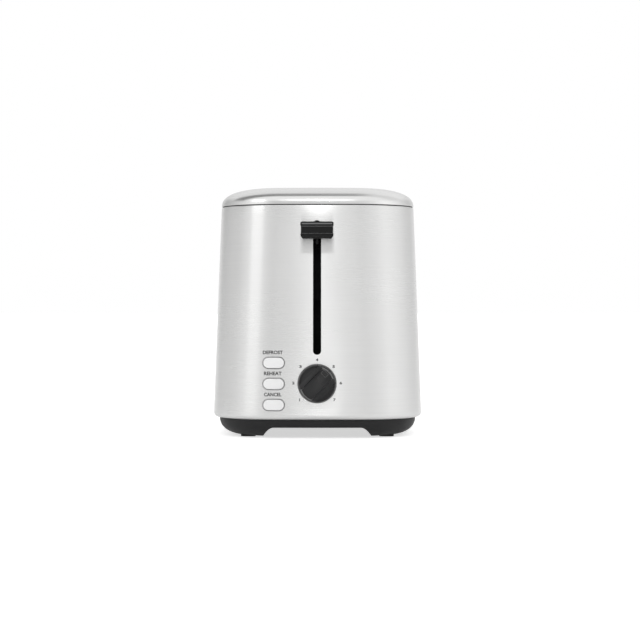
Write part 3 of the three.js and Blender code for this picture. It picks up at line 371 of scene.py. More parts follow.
finishes = {
    "housing_steel": brushedMetal(
        "brushedHousingSteel", (0.735, 0.735, 0.73), (0.775, 0.775, 0.77), (0.265, 0.295), (24, 24, 4200),
        0.025, share=0.75, Anisotropic=0.95, Anisotropic_Rotation=0.25),
    "cover_steel": brushedMetal(
        "satinCoverSteel", (0.755, 0.755, 0.75), (0.79, 0.79, 0.785), (0.19, 0.23), (3200, 30, 3200), 0.04,
        share=0.75),
    "sheet_steel": platedSheet(
        "zincSheet", (0.42, 0.43, 0.44), (0.6, 0.61, 0.62), (0.34, 0.5), 130.0, 1.0, 0.1),
    "bright_wire": brushedMetal(
        "platedWire", (0.55, 0.55, 0.56), (0.74, 0.74, 0.75), (0.12, 0.22), (900, 900, 300), 0.08),
    "black_plastic": mouldedPlastic(
        "texturedBlackPlastic", (0.009, 0.009, 0.0094), (0.016, 0.016, 0.0165), (0.42, 0.55), 2600.0, 0.3,
        Specular_IOR_Level=0.28),
    "gloss_black": mouldedPlastic(
        "satinBlackPlastic", (0.005, 0.005, 0.0054), (0.009, 0.009, 0.0095), (0.24, 0.32), 2200.0, 0.08,
        Specular_IOR_Level=0.36),
    "silver_plastic": mouldedPlastic(
        "silverPaint", (0.8, 0.8, 0.8), (0.87, 0.87, 0.87), (0.3, 0.4), 3600.0, 0.05),
    "foot_rubber": mouldedPlastic(
        "footRubber", (0.012, 0.012, 0.012), (0.03, 0.03, 0.03), (0.7, 0.85), 1500.0, 0.5),
    "mica_sheet": platedSheet(
        "pressedMica", (0.36, 0.27, 0.15), (0.66, 0.55, 0.37), (0.3, 0.55), 260.0, 0.0, 0.3),
    "heating_wire": brushedMetal(
        "oxidisedRibbon", (0.16, 0.14, 0.13), (0.34, 0.3, 0.27), (0.45, 0.6), (700, 120, 700), 0.2),
    "circuit_laminate": mouldedPlastic(
        "paperLaminate", (0.3, 0.2, 0.085), (0.5, 0.36, 0.18), (0.42, 0.55), 700.0, 0.15),
    "copper_alloy": brushedMetal(
        "springBronze", (0.5, 0.27, 0.14), (0.72, 0.42, 0.25), (0.24, 0.36), (500, 500, 1600), 0.1),
    "plain_iron": brushedMetal(
        "brightIron", (0.3, 0.3, 0.31), (0.52, 0.52, 0.53), (0.26, 0.4), (400, 2400, 2400), 0.12),
    "ink": mouldedPlastic(
        "printedInk", (0.014, 0.014, 0.015), (0.028, 0.028, 0.03), (0.5, 0.62), 4200.0, 0.1),
    # painted highlight: pale lines that stand in for light on the edges of the dial's notch
    "notchHighlightPaint": mouldedPlastic(
        "paintedNotchHighlight", (0.07, 0.07, 0.07), (0.11, 0.11, 0.11), (0.4, 0.5), 4200.0, 0.1),
    # painted highlight: grey lines on the lever knob that stand in for light on its lip and panel edges
    "paintedHighlightGrey": mouldedPlastic(
        "knobHighlightPaint", (0.11, 0.11, 0.113), (0.15, 0.15, 0.153), (0.3, 0.38), 2200.0, 0.08),
    "knobBlack": mouldedPlastic(
        "softBlackPlastic", (0.003, 0.003, 0.0032), (0.006, 0.006, 0.0063), (0.34, 0.44), 2200.0, 0.1,
        Specular_IOR_Level=0.22),
    # painted shade: zinc sheet darkened nearly to black for the plates seen through the lever slot, which
    # lie in shade
    "slotShadeSheet": platedSheet(
        "paintedSlotShadeSheet", (0.028, 0.028, 0.029), (0.05, 0.05, 0.051), (0.5, 0.65), 130.0, 1.0, 0.1),
    "dullSteel": platedSheet(
        "dullSteelSheet", (0.12, 0.12, 0.123), (0.19, 0.19, 0.195), (0.4, 0.55), 160.0, 1.0, 0.1),
    # black plastic darkened further as painted shade, for the strip seen inside the lever slot
    "slotShadeStrip": mouldedPlastic(
        "blackStripWithShade", (0.0015, 0.0015, 0.0016), (0.003, 0.003, 0.0032), (0.7, 0.85), 1800.0, 0.2,
        Specular_IOR_Level=0.08),
}
print("finishes made:", len(finishes))


# shaping helpers


def newObject(name, bm):
    mesh = bpy.data.meshes.new(name)
    bm.to_mesh(mesh)
    bm.free()
    made = bpy.data.objects.new(name, mesh)
    scene.collection.objects.link(made)
    return made


def settle(obj):
    # makes the modifiers' result the object's own mesh
    bpy.context.view_layer.update()
    graph = bpy.context.evaluated_depsgraph_get()
    mesh = bpy.data.meshes.new_from_object(obj.evaluated_get(graph))
    obj.modifiers.clear()
    obj.data = mesh


def combine(obj, tool, operation="DIFFERENCE"):
    change = obj.modifiers.new("combine", "BOOLEAN")
    change.solver = "EXACT"
    change.operation = operation
    change.object = tool
    settle(obj)
    bpy.data.objects.remove(tool)


def softEdges(obj, width, segments=3, angle=35):
    bevel = obj.modifiers.new("softEdges", "BEVEL")
    bevel.width = width * mm
    bevel.segments = segments
    bevel.limit_method = "ANGLE"
    bevel.angle_limit = math.radians(angle)
    bevel.use_clamp_overlap = True
    settle(obj)


def fit(obj, finish, body, *nodes, angle=32):
    # gives a finished piece its material, its body and the CAD nodes that it stands for
    obj.data.materials.clear()
    obj.data.materials.append(finishes[finish])
    obj.data.shade_smooth()
    obj.data.set_sharp_from_angle(angle=math.radians(angle))
    if body is not None:
        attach(obj, body)
    if nodes:
        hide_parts(*nodes)
    return obj


def bevelEdges(bm, edges, width, segments, clamp=True):
    bmesh.ops.bevel(
        bm, geom=list(edges), offset=width * mm, offset_type="OFFSET", segments=segments,
        affect="EDGES", profile=0.5, material=-1, clamp_overlap=clamp)


def addPrism(bm, corners, reach):
    # pushes an outline of corners along reach, in millimetres
    face = bm.faces.new([bm.verts.new([number * mm for number in corner]) for corner in corners])
    made = bmesh.ops.extrude_face_region(bm, geom=[face])["geom"]
    moved = [g for g in made if isinstance(g, bmesh.types.BMVert)]
    bmesh.ops.translate(bm, vec=[number * mm for number in reach], verts=moved)
    bmesh.ops.recalc_face_normals(bm, faces=bm.faces)


def addBlock(bm, low, high, radius=0, along=None, segments=4):
    # a block between two corners; with along, the edges parallel to that axis are rounded
    low, high = Vector(low) * mm, Vector(high) * mm
    size, centre = high - low, (low + high) / 2
    place = Matrix.Translation(centre) @ Matrix.Diagonal((*size, 1))
    verts = bmesh.ops.create_cube(bm, size=1, matrix=place)["verts"]
    if radius:
        found = {e for v in verts for e in v.link_edges}
        edges = [e for e in found if along is None or abs((e.verts[0].co - e.verts[1].co)[along]) > 1e-7]
        bevelEdges(bm, edges, radius, segments)


def addRod(bm, start, end, radius, sides=24, farRadius=None, rounded=0):
    # a round rod between two points
    start, end = Vector(start) * mm, Vector(end) * mm
    along = end - start
    place = Matrix.Translation((start + end) / 2) @ along.to_track_quat("Z", "Y").to_matrix().to_4x4()
    far = radius if farRadius is None else farRadius
    verts = bmesh.ops.create_cone(
        bm, cap_ends=True, segments=sides, radius1=radius * mm, radius2=far * mm,
        depth=along.length, matrix=place)["verts"]
    if rounded:
        rims = {e for v in verts for e in v.link_edges if len(e.link_faces) == 2
                and any(len(f.verts) > 4 for f in e.link_faces)}
        bevelEdges(bm, rims, rounded, 3)


def makeStations(endSteps, cornerSteps, sideSteps):
    # where the points of a rounded rectangle stand, anticlockwise from above
    # each is (centre x, centre y, out x, out y)
    found = []
    for quarter in range(4):
        startX, startY = ((-1, -1), (1, -1), (1, 1), (-1, 1))[quarter]
        endX, endY = ((1, -1), (1, 1), (-1, 1), (-1, -1))[quarter]
        outX, outY = ((0, -1), (1, 0), (0, 1), (-1, 0))[quarter]
        steps = endSteps if quarter % 2 == 0 else sideSteps
        for i in range(steps):
            t = i / steps
            found.append((startX + (endX - startX) * t, startY + (endY - startY) * t, outX, outY))
        for i in range(cornerSteps):
            angle = math.radians(-90 + 90 * (quarter + i / cornerSteps))
            found.append((endX, endY, math.cos(angle), math.sin(angle)))
    return found


outline = makeStations(24, 18, 26)
hair = 0.02  # how far a rounded end stays short of a full half circle


def outlinePoint(index, inset, z, level):
    # a point of the housing's outline, inset from the steel's outside, as it is at height level
    taper = housing["lean"] * (level - housing["bottom"]) + inset
    halfWidth = housing["width"] / 2 - taper
    halfLength = housing["length"] / 2 - taper
    radius = max(housing["corner"] - inset, housing["tightest"])
    centreX, centreY, outX, outY = outline[index]
    x = centreX * (halfWidth - radius) + radius * outX
    y = centreY * (halfLength - radius) + radius * outY
    y *= 1 - housing["bow"] / halfLength * (x / halfWidth) ** 2
    return Vector((x, y + middleY, z)) * mm


def wallY(z, x=0, inset=0, end=-1):
    # y of the front or rear wall's outside, in millimetres
    taper = housing["lean"] * (z - housing["bottom"]) + inset
    halfWidth = housing["width"] / 2 - taper
    halfLength = housing["length"] / 2 - taper
    radius = housing["corner"] - inset
    intoCorner = max(abs(x) - (halfWidth - radius), 0)
    y = halfLength - radius + math.sqrt(radius ** 2 - intoCorner ** 2)
    return end * y * (1 - housing["bow"] / halfLength * (x / halfWidth) ** 2) + middleY


def firstRing(bm, count, place):
    layer = bm.verts.layers.int.get("station") or bm.verts.layers.int.new("station")
    verts = bmesh.ops.create_circle(bm, segments=count, radius=1)["verts"]
    for index, vert in enumerate(verts):
        vert[layer] = index
        vert.co = place(index)
    inside = set(verts)
    return [e for e in {e for v in verts for e in v.link_edges} if set(e.verts) <= inside]


def nextRing(bm, edges, place):
    layer = bm.verts.layers.int["station"]
    made = bmesh.ops.extrude_edge_only(bm, edges=edges)["geom"]
    verts = {g for g in made if isinstance(g, bmesh.types.BMVert)}
    for vert in verts:
        vert.co = place(vert[layer])
    return [g for g in made if isinstance(g, bmesh.types.BMEdge) and set(g.verts) <= verts]


def ringSkin(bm, rings, closed=False):
    # extrudes a ring through (inset, z, level); closed joins the last to the first
    first = edges = firstRing(bm, len(outline), lambda i: outlinePoint(i, *rings[0]))
    for ring in rings[1:]:
        edges = nextRing(bm, edges, lambda i, ring=ring: outlinePoint(i, *ring))
    if closed:
        bmesh.ops.bridge_loops(bm, edges=first + edges)
    else:
        bmesh.ops.edgeloop_fill(bm, edges=first)
        bmesh.ops.edgeloop_fill(bm, edges=edges)
    bmesh.ops.recalc_face_normals(bm, faces=bm.faces)


def quarterCurve(share, reach, height, power):
    angle = share * math.pi / 2
    return reach * (1 - math.cos(angle) ** (2 / power)), height * math.sin(angle) ** (2 / power)


# steel housing

controls = {
    "leverSlot": (6.5, 67.35, 175.05), "button": (16.6, 8.4), "buttonMargin": 0.8, "shaftHole": 4.4,
    "gland": (-30, 34), "glandHole": 5.2, "dialRadius": 15.7, "dialRest": 45,
}
keyNames = ("defrost", "reheat", "cancel")
dialLow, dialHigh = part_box("browning_dial")
dialZ = (dialLow.z + dialHigh.z) / 2 / mm
keyPlaces = {}
for keyName in keyNames:
    low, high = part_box(keyName + "_button")
    keyPlaces[keyName] = ((low.x + high.x) / 2 / mm, (low.z + high.z) / 2 / mm)


def makeShell():
    h = housing
    rollSteps, bendSteps, levels = 8, 5, 20
    rings = []
    for i in range(rollSteps + 1):
        angle = i / rollSteps * math.pi / 2
        rings.append((h["roll"] * (1 - math.sin(angle)), h["bottom"] + h["roll"] * (1 - math.cos(angle))))
    low, high = h["bottom"] + h["roll"], h["top"] - h["bend"]
    rings += [(0, low + (high - low) * i / levels) for i in range(1, levels + 1)]
    for i in range(1, bendSteps + 1):
        angle = i / bendSteps * math.pi / 2
        rings.append((h["bend"] * (1 - math.cos(angle)), high + h["bend"] * math.sin(angle)))
    rings += [(h["flange"], h["top"]), (h["flange"], h["top"] - h["wall"])]
    rings += [(h["wall"] + 0.2, h["top"] - h["wall"]), (h["wall"], high - h["wall"])]
    rings += [(h["wall"], high + (low - high) * i / 6) for i in range(1, 6)]
    inner = h["roll"] - h["wall"]
    for i in range(rollSteps, -1, -1):
        angle = i / rollSteps * math.pi / 2
        rings.append((h["wall"] + inner * (1 - math.sin(angle)),
                      h["bottom"] + h["wall"] + inner * (1 - math.cos(angle))))
    bm = bmesh.new()
    ringSkin(bm, [(inset, z, z) for inset, z in rings], closed=True)
    shell = newObject("bodyShell", bm)

    cuts = bmesh.new()
    width, bottom, top = controls["leverSlot"]
    ys = (wallY(bottom) - 3, -100)
    addBlock(cuts, (-width / 2, ys[0], bottom), (width / 2, ys[1], top), width / 2 - hair, 1, 8)
    for x, z in keyPlaces.values():
        halfX, halfZ = (size / 2 + controls["buttonMargin"] for size in controls["button"])
        addBlock(cuts, (x - halfX, ys[0], z - halfZ), (x + halfX, ys[1], z + halfZ), halfZ - hair, 1, 10)
    addRod(cuts, (0, ys[0], dialZ), (0, ys[1], dialZ), controls["shaftHole"], 32)
    glandX, glandZ = controls["gland"]
    rear = wallY(glandZ, 0, 0, 1)
    addRod(cuts, (glandX, rear - 8, glandZ), (glandX, rear + 8, glandZ), controls["glandHole"], 32)
    combine(shell, newObject("shellCuts", cuts))
    fit(shell, "housing_steel", "housing", "body_shell", angle=30)


makeShell()
print("steel housing made")


# top cover

cover = {
    "seam": 0.6, "reach": 45, "power": 2.5, "wall": 0.8, "fillInset": 33, "steps": 20,
    "slotSize": (32, 150), "slotCorner": 6, "slotX": 27, "slotY": 6, "fold": 1.6, "support": 0.7,
    "rimDepth": 8, "lipInset": 3.2, "lipDepth": 4, "lipTop": 7.6,
}
coverBottom = housing["top"] + cover["seam"]
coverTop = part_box("top_cover")[1].z / mm
cover["rise"] = coverTop - coverBottom
slotOutline = makeStations(8, 7, 16)


def domeHeight(inset):
    share = max(1 - inset / cover["reach"], 0) ** cover["power"]
    return coverBottom + cover["rise"] * (1 - share) ** (1 / cover["power"])


def slotPoint(index, side, grow, drop=None, z=None):
    # a point round a bread slot grown by grow; it lies on the dome less drop, or at z
    halfX, halfY = (size / 2 + grow for size in cover["slotSize"])
    radius = cover["slotCorner"] + grow
    centreX, centreY, outX, outY = slotOutline[index]
    x = side * cover["slotX"] + centreX * (halfX - radius) + radius * outX
    y = cover["slotY"] + centreY * (halfY - radius) + radius * outY
    if z is None:
        taper = housing["lean"] * (coverBottom - housing["bottom"])
        inset = min(housing["width"] / 2 - abs(x), housing["length"] / 2 - abs(y)) - taper
        z = domeHeight(inset) - drop
    return Vector((x, y + middleY, z)) * mm


def makeCover():
    c = cover
    bm = bmesh.new()
    steps = c["steps"]
    farthest = math.acos((1 - c["fillInset"] / c["reach"]) ** (c["power"] / 2)) / (math.pi / 2)
    places = []
    for i in range(steps + 1):
        share = farthest * (i / steps) ** 1.25
        inwards, upwards = quarterCurve(share, c["reach"], c["rise"], c["power"])
        places.append((inwards, coverBottom + upwards, coverBottom))
    edges = firstRing(bm, len(outline), lambda i: outlinePoint(i, *places[0]))
    for place in places[1:]:
        edges = nextRing(bm, edges, lambda i, place=place: outlinePoint(i, *place))
    loops = {}
    for side in (-1, 1):
        grow = c["fold"] + c["support"]
        loops[side] = firstRing(bm, len(slotOutline), lambda i: slotPoint(i, side, grow, 0))
    fill = edges + loops[-1] + loops[1]
    bmesh.ops.triangle_fill(bm, edges=fill, use_beauty=True, use_dissolve=False, normal=(0, 0, 1))
    for side, loop in loops.items():
        loop = nextRing(bm, loop, lambda i: slotPoint(i, side, c["fold"], 0))
        for k in range(1, 7):
            angle = k / 6 * math.pi / 2
            grow, drop = c["fold"] * (1 - math.sin(angle)), c["fold"] * (1 - math.cos(angle))
            loop = nextRing(bm, loop, lambda i: slotPoint(i, side, grow, drop))
        nextRing(bm, loop, lambda i: slotPoint(i, side, 0, z=coverTop - c["rimDepth"]))
    bmesh.ops.recalc_face_normals(bm, faces=bm.faces)
    if max(bm.faces, key=lambda f: f.calc_center_median().z).normal.z < 0:
        bmesh.ops.reverse_faces(bm, faces=bm.faces)
    top = newObject("topCover", bm)
    wall = top.modifiers.new("wall", "SOLIDIFY")
    wall.thickness = c["wall"] * mm
    wall.offset = -1
    wall.use_even_offset = True
    settle(top)
    bm = bmesh.new()
    inner = c["lipInset"] + c["wall"]
    low, high = coverBottom - c["lipDepth"], coverBottom + c["lipTop"]
    ringSkin(bm, [
        (c["lipInset"], low, coverBottom), (c["lipInset"], high, coverBottom),
        (inner, high, coverBottom), (inner, low, coverBottom),
    ], closed=True)
    bm.from_mesh(top.data)
    bm.to_mesh(top.data)
    bm.free()
    fit(top, "cover_steel", "housing", "top_cover", angle=40)


makeCover()


# a dark ring that paints the shade in the seam between housing and cover
seamShade = {"insets": (0.75, 2.9), "under": 0.02, "over": 0.08}


def makeSeamShade():
    # painted shade: a dark ring in the seam, on the housing's top flange, that darkens the gap under the
    # cover
    low, high = housing["top"] + seamShade["under"], coverBottom - seamShade["over"]
    outer, inner = seamShade["insets"]
    corners = ((outer, low), (outer, high), (inner, high), (inner, low))
    bm = bmesh.new()
    ringSkin(bm, [(inset, z, coverBottom) for inset, z in corners], closed=True)
    fit(newObject("seamShadeRing", bm), "foot_rubber", "housing")


makeSeamShade()
print("top cover and its seal made")


# plastic base, feet, screws and cord gland

base = {
    "inset": 5.1, "wall": 2.2, "bottom": 0.7, "rimTop": 19.2, "reach": 22, "power": 2.3, "floor": 6,
    "tunnelTop": 8.6, "flare": 9, "frontHalf": 35, "sideHalf": 66, "thick": 2, "slide": 0.5, "gap": 0.3,
    "post": (56.5, 86), "postRadius": 4.5, "postTop": 23.5, "pad": (56.5, 104), "padSize": (12, 20, 3),
    "padCorner": 3, "screwHead": (3.3, 1.8), "screwShank": 1.5,
    "trayHalf": 50, "trayTop": 14.8, "handleMargin": 3.5, "railThick": 1.2,
    "ventX": (-20, 0, 20), "ventY": (-108, 118), "ventHalf": (2.5, 11), "ventRound": 2.4,
    "padEdge": 0.4, "padDish": (1.2, 0.25, 0.35), "screwRound": (0.6, 0.4), "cross": (0.45, 2.1, 1.1),
}
fourCorners = [(x, y) for x in (-1, 1) for y in (-1, 1)]


def bowl(name, wall, bottom, top):
    steps = 12
    rings = []
    for i in range(steps, -1, -1):
        depth = housing["bottom"] - bottom
        inwards, upwards = quarterCurve(i / steps, base["reach"] - wall / 2, depth, base["power"])
        rings.append((base["inset"] + wall + inwards, housing["bottom"] - upwards, housing["bottom"]))
    rings.append((base["inset"] + wall, top, housing["bottom"]))
    bm = bmesh.new()
    ringSkin(bm, rings)
    return newObject(name, bm)


def tunnel(name, half, top, lengthwise):
    # a cutter along y or x: flat on top, with flared feet on both sides
    foot, low = half + base["flare"], base["bottom"]
    side = [(half, top)]
    for i in range(1, 11):
        t = i / 10
        x = (1 - t) ** 2 * half + 2 * t * (1 - t) * (half + base["flare"] / 2) + t * t * foot
        z = (1 - t) ** 2 * top + 2 * t * (1 - t) * top + t * t * low
        side.append((x, z))
    side.append((foot, -1))
    points = [(-x, z) for x, z in reversed(side)] + side
    bm = bmesh.new()
    if lengthwise:
        verts = [bm.verts.new((x * mm, -0.3, z * mm)) for x, z in points]
        reach = Vector((0, 0.6, 0))
    else:
        verts = [bm.verts.new((-0.3, y * mm + middleY * mm, z * mm)) for y, z in points]
        reach = Vector((0.6, 0, 0))
    face = bm.faces.new(verts)
    made = bmesh.ops.extrude_face_region(bm, geom=[face])["geom"]
    bmesh.ops.translate(bm, vec=reach, verts=[g for g in made if isinstance(g, bmesh.types.BMVert)])
    bmesh.ops.recalc_face_normals(bm, faces=bm.faces)
    return newObject(name, bm)


def makeBase():
    b = base
    inside = bowl("inside", b["wall"], b["floor"], b["rimTop"] + b["slide"])
    for lengthwise, half in ((True, b["frontHalf"]), (False, b["sideHalf"])):
        combine(inside, tunnel("tunnel", half + b["thick"], b["tunnelTop"] + b["thick"], lengthwise))
    tub = bowl("base", 0, b["bottom"], b["rimTop"])
    for lengthwise, half in ((True, b["frontHalf"]), (False, b["sideHalf"])):
        combine(tub, tunnel("tunnel", half, b["tunnelTop"], lengthwise))
    combine(tub, inside)

    extras = bmesh.new()
    floorTop = b["tunnelTop"] + b["thick"]
    for x, y in fourCorners:
        px, py = x * b["post"][0], y * b["post"][1] + middleY
        addRod(extras, (px, py, b["floor"] - b["slide"]), (px, py, b["postTop"]), b["postRadius"], 32)
    front, rear = (edge.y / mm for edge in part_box("chamber_left_wall"))
    for side in (-1, 1):
        inner = b["trayHalf"] + b["slide"]
        xs = sorted((side * inner, side * (inner + b["railThick"])))
        addBlock(extras, (xs[0], front, floorTop - b["slide"]), (xs[1], rear + 20, b["trayTop"]))
    combine(tub, newObject("extras", extras), "UNION")

    cuts = bmesh.new()
    headRadius, shank = b["screwHead"][0] + b["gap"], b["screwShank"] + b["gap"]
    for x, y in fourCorners:
        px, py = x * b["post"][0], y * b["post"][1] + middleY
        addRod(cuts, (px, py, -1), (px, py, b["floor"] - b["slide"]), headRadius, 28)
        qx, qy = x * b["pad"][0], y * b["pad"][1] + middleY
        halfX, halfY = b["padSize"][0] / 2 + b["gap"], b["padSize"][1] / 2 + b["gap"]
        addBlock(cuts, (qx - halfX, qy - halfY, -1), (qx + halfX, qy + halfY, b["padSize"][2] + b["gap"]),
                 b["padCorner"], 2)
    windowHalf = b["trayHalf"] + b["handleMargin"] + b["gap"]
    windowFront = housing["length"] / 2 - b["inset"] - housing["corner"] / 2 + middleY
    addBlock(cuts, (-windowHalf, windowFront, floorTop), (windowHalf, 200, b["trayTop"] + b["gap"]))
    halfX, halfY = b["ventHalf"]
    for x in b["ventX"]:
        for y in b["ventY"]:
            addBlock(cuts, (x - halfX, y - halfY + middleY, -1),
                     (x + halfX, y + halfY + middleY, floorTop + b["slide"]), b["ventRound"], 2)
    combine(tub, newObject("cuts", cuts))
    holes = bmesh.new()
    for x, y in fourCorners:
        px, py = x * b["post"][0], y * b["post"][1] + middleY
        addRod(holes, (px, py, 0), (px, py, b["postTop"] + 2), shank, 20)
    combine(tub, newObject("holes", holes))
    fit(tub, "black_plastic", "housing", "base", angle=32)


makeBase()
print("base made")


def makePad(name, node):
    low, high = (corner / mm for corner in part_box(node))
    bm = bmesh.new()
    addBlock(bm, low, high, base["padCorner"], 2, 6)
    under = min(bm.faces, key=lambda f: f.calc_center_median().z)
    bevelEdges(bm, under.edges, base["padEdge"], 3, False)
    under = min(bm.faces, key=lambda f: f.calc_center_median().z)
    rim, slope, dish = base["padDish"]
    bmesh.ops.inset_region(bm, faces=[under], thickness=rim * mm)
    bmesh.ops.inset_region(bm, faces=[under], thickness=slope * mm, depth=-dish * mm)
    fit(newObject(name, bm), "foot_rubber", "housing", node)


def makeScrew(name, node):
    low, high = (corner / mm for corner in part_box(node))
    x, y = (low.x + high.x) / 2, (low.y + high.y) / 2
    headRadius, headHeight = base["screwHead"]
    headRound, tipRound = base["screwRound"]
    short, long, deep = base["cross"]
    seat = low.z + headHeight
    bm = bmesh.new()
    addRod(bm, (x, y, low.z), (x, y, seat), headRadius, 32, rounded=headRound)
    screw = newObject(name, bm)
    bm = bmesh.new()
    addRod(bm, (x, y, seat - 0.3), (x, y, high.z), base["screwShank"], 18, rounded=tipRound)
    combine(screw, newObject("shank", bm), "UNION")
    for halfX, halfY in ((short, long), (long, short)):
        bm = bmesh.new()
        addBlock(bm, (x - halfX, y - halfY, low.z - 1), (x + halfX, y + halfY, low.z + deep))
        combine(screw, newObject("recess", bm))
    fit(screw, "plain_iron", "housing", node)


for end in ("front", "rear"):
    for side in ("left", "right"):
        makePad("footPad_" + end + "_" + side, "foot_" + end + "_" + side)
        makeScrew("baseScrew_" + end + "_" + side, "base_screw_" + end + "_" + side)

gland = {"bore": 3.6, "radius": 7, "neck": 4.9, "gap": 0.3, "depth": 4, "proud": 2.3}


def spinProfile(name, points, x, y, z):
    # spins (radius, out) points about the y axis through x, z, with out measured from y
    bm = bmesh.new()
    verts = [bm.verts.new(((x + radius) * mm, (y + out) * mm, z * mm)) for radius, out in points]
    edges = [bm.edges.new((a, b)) for a, b in zip(verts, verts[1:])]
    bmesh.ops.spin(bm, geom=verts + edges, cent=Vector((x, y, z)) * mm, axis=(0, 1, 0), dvec=(0, 0, 0),
                   angle=2 * math.pi, steps=48, use_merge=True)
    bmesh.ops.remove_doubles(bm, verts=bm.verts, dist=1e-7)
    bmesh.ops.recalc_face_normals(bm, faces=bm.faces)
    return newObject(name, bm)


def makeGland():
    g = gland
    x, z = controls["gland"]
    y = wallY(z, x, 0, 1)
    points = [
        (g["bore"], -g["depth"]), (g["radius"] - 1, -g["depth"]), (g["radius"] - 1, -2.2), (g["neck"], -2.2),
        (g["neck"], g["gap"]), (g["radius"], g["gap"]), (g["radius"], 0.9), (g["radius"] - 0.3, 1.5),
        (g["radius"] - 0.9, 2.0), (g["radius"] - 1.6, g["proud"]), (g["bore"] + 0.5, g["proud"]),
        (g["bore"], g["proud"] - 0.5), (g["bore"], -g["depth"]),
    ]
    fit(spinProfile("cordGland", points, x, y, z), "black_plastic", "housing", "cord_gland")


makeGland()
print("feet, screws and gland made")


# lever knob

knob = {
    "topLip": 3.45, "bottomLip": 3.8, "recess": 1.7, "narrow": 0.45, "endRound": 0.5, "corner": 1.5,
    "chamfer": 1.7, "depth": 12, "neckHalf": 2.2, "armHalf": 0.6, "clear": 0.3,
    # how far the painted highlight lines stand proud, and how thick they are
    "highlightProud": 0.04, "highlightThick": 0.2,
}


def makeKnob():
    k = knob
    low, high = (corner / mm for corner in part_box("lever_knob"))
    armLow, armHigh = (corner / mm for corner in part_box("lever_arm"))
    front, back, half = low.y, low.y + k["depth"], (high.x - low.x) / 2
    upper, lower = high.z - k["topLip"], low.z + k["bottomLip"]
    profile = [
        (back, high.z), (front + 2.6, high.z), (front + 1.15, high.z - 1.05), (front + 0.15, high.z - 2.55),
        (front, upper + 0.25), (front + 0.4, upper), (front + k["recess"] - 0.5, upper - 0.1),
        (front + k["recess"], upper - 0.9), (front + k["recess"] + 0.2, (upper + lower) / 2),
        (front + k["recess"], lower + 0.7), (front + k["recess"] - 0.5, lower + 0.1),
        (front + 0.5, lower), (front + 0.1, lower - 0.4), (front + 0.1, low.z + k["chamfer"]),
        (front + 1.5, low.z), (back, low.z),
    ]
    bm = bmesh.new()
    addPrism(bm, [(-half, y, z) for y, z in profile], (2 * half, 0, 0))
    for vert in bm.verts:
        y, z = vert.co.y / mm, vert.co.z / mm
        if lower < z < upper and y < back - 1:
            vert.co.x *= 1 - k["narrow"] / half
        if z < low.z + 0.1:
            vert.co.x *= 1 - k["chamfer"] / half
    ends = [e for e in bm.edges if abs(e.verts[0].co.x - e.verts[1].co.x) < 0.003]
    bevelEdges(bm, ends, k["endRound"], 4)
    grip = newObject("leverKnob", bm)
    bm = bmesh.new()  # rounds the corners seen from the front
    addBlock(bm, (-half, front - 1, low.z), (half, back + 1, high.z), k["corner"], 1, 6)
    combine(grip, newObject("corners", bm), "INTERSECT")
    softEdges(grip, 0.22, 3, 25)
    bm = bmesh.new()
    addBlock(bm, (-k["neckHalf"], back - 1, low.z + 2), (k["neckHalf"], high.y, high.z - 2), 0.4, 1, 3)
    combine(grip, newObject("neck", bm), "UNION")
    socket = k["armHalf"] + k["clear"]
    for lowY, lowZ, highZ in ((armLow.y - k["clear"], low.z + 3 - k["clear"], armHigh.z + k["clear"]),
                              (back, armLow.z, armHigh.z + k["clear"])):
        bm = bmesh.new()
        addBlock(bm, (-socket, lowY, lowZ), (socket, high.y + 1, highZ))
        combine(grip, newObject("slit", bm))
    fit(grip, "knobBlack", "carriage", "lever_knob", angle=50)

    # painted highlight: a grey line inlaid along the top lip's slope, and a thinner one along each edge of
    # the panel, standing in for light caught by the lip and the panel's edges
    rows = (
        (front + 1.03, high.z - 1.23, front + 0.35, high.z - 2.25, half - 1.1),
        (front + k["recess"] - 0.75, upper - 0.04, front + k["recess"] - 0.12, upper - 0.6, half - 0.9),
        (front + k["recess"] - 0.12, lower + 0.45, front + k["recess"] - 0.75, lower + 0.05, half - 0.9),
    )
    bm = bmesh.new()
    for highY, highZ, lowY, lowZ, reach in rows:
        along = Vector((0, highY - lowY, highZ - lowZ))
        out = Vector((0, -along.z, along.y)).normalized() * (1 if along.z > 0 else -1)
        ends = [Vector((-reach, y, z)) + out * k["highlightProud"] for y, z in ((lowY, lowZ), (highY, highZ))]
        addPrism(bm, ends + [end - out * k["highlightThick"] for end in reversed(ends)], (2 * reach, 0, 0))
    fit(newObject("knobPaintedHighlight", bm), "paintedHighlightGrey", "carriage")


makeKnob()
print("lever knob made")


# browning dial and its scale

dial = {
    "skirt": 6, "gripWidth": 11.0, "gripFlare": 0.5, "wedge": (3.2, 2.1), "bore": 3.3, "edge": 0.45,
    "notch": (-4.3, 1.0, 8.4, 12.1), "notchDepth": 0.5, "line": 0.28,
}


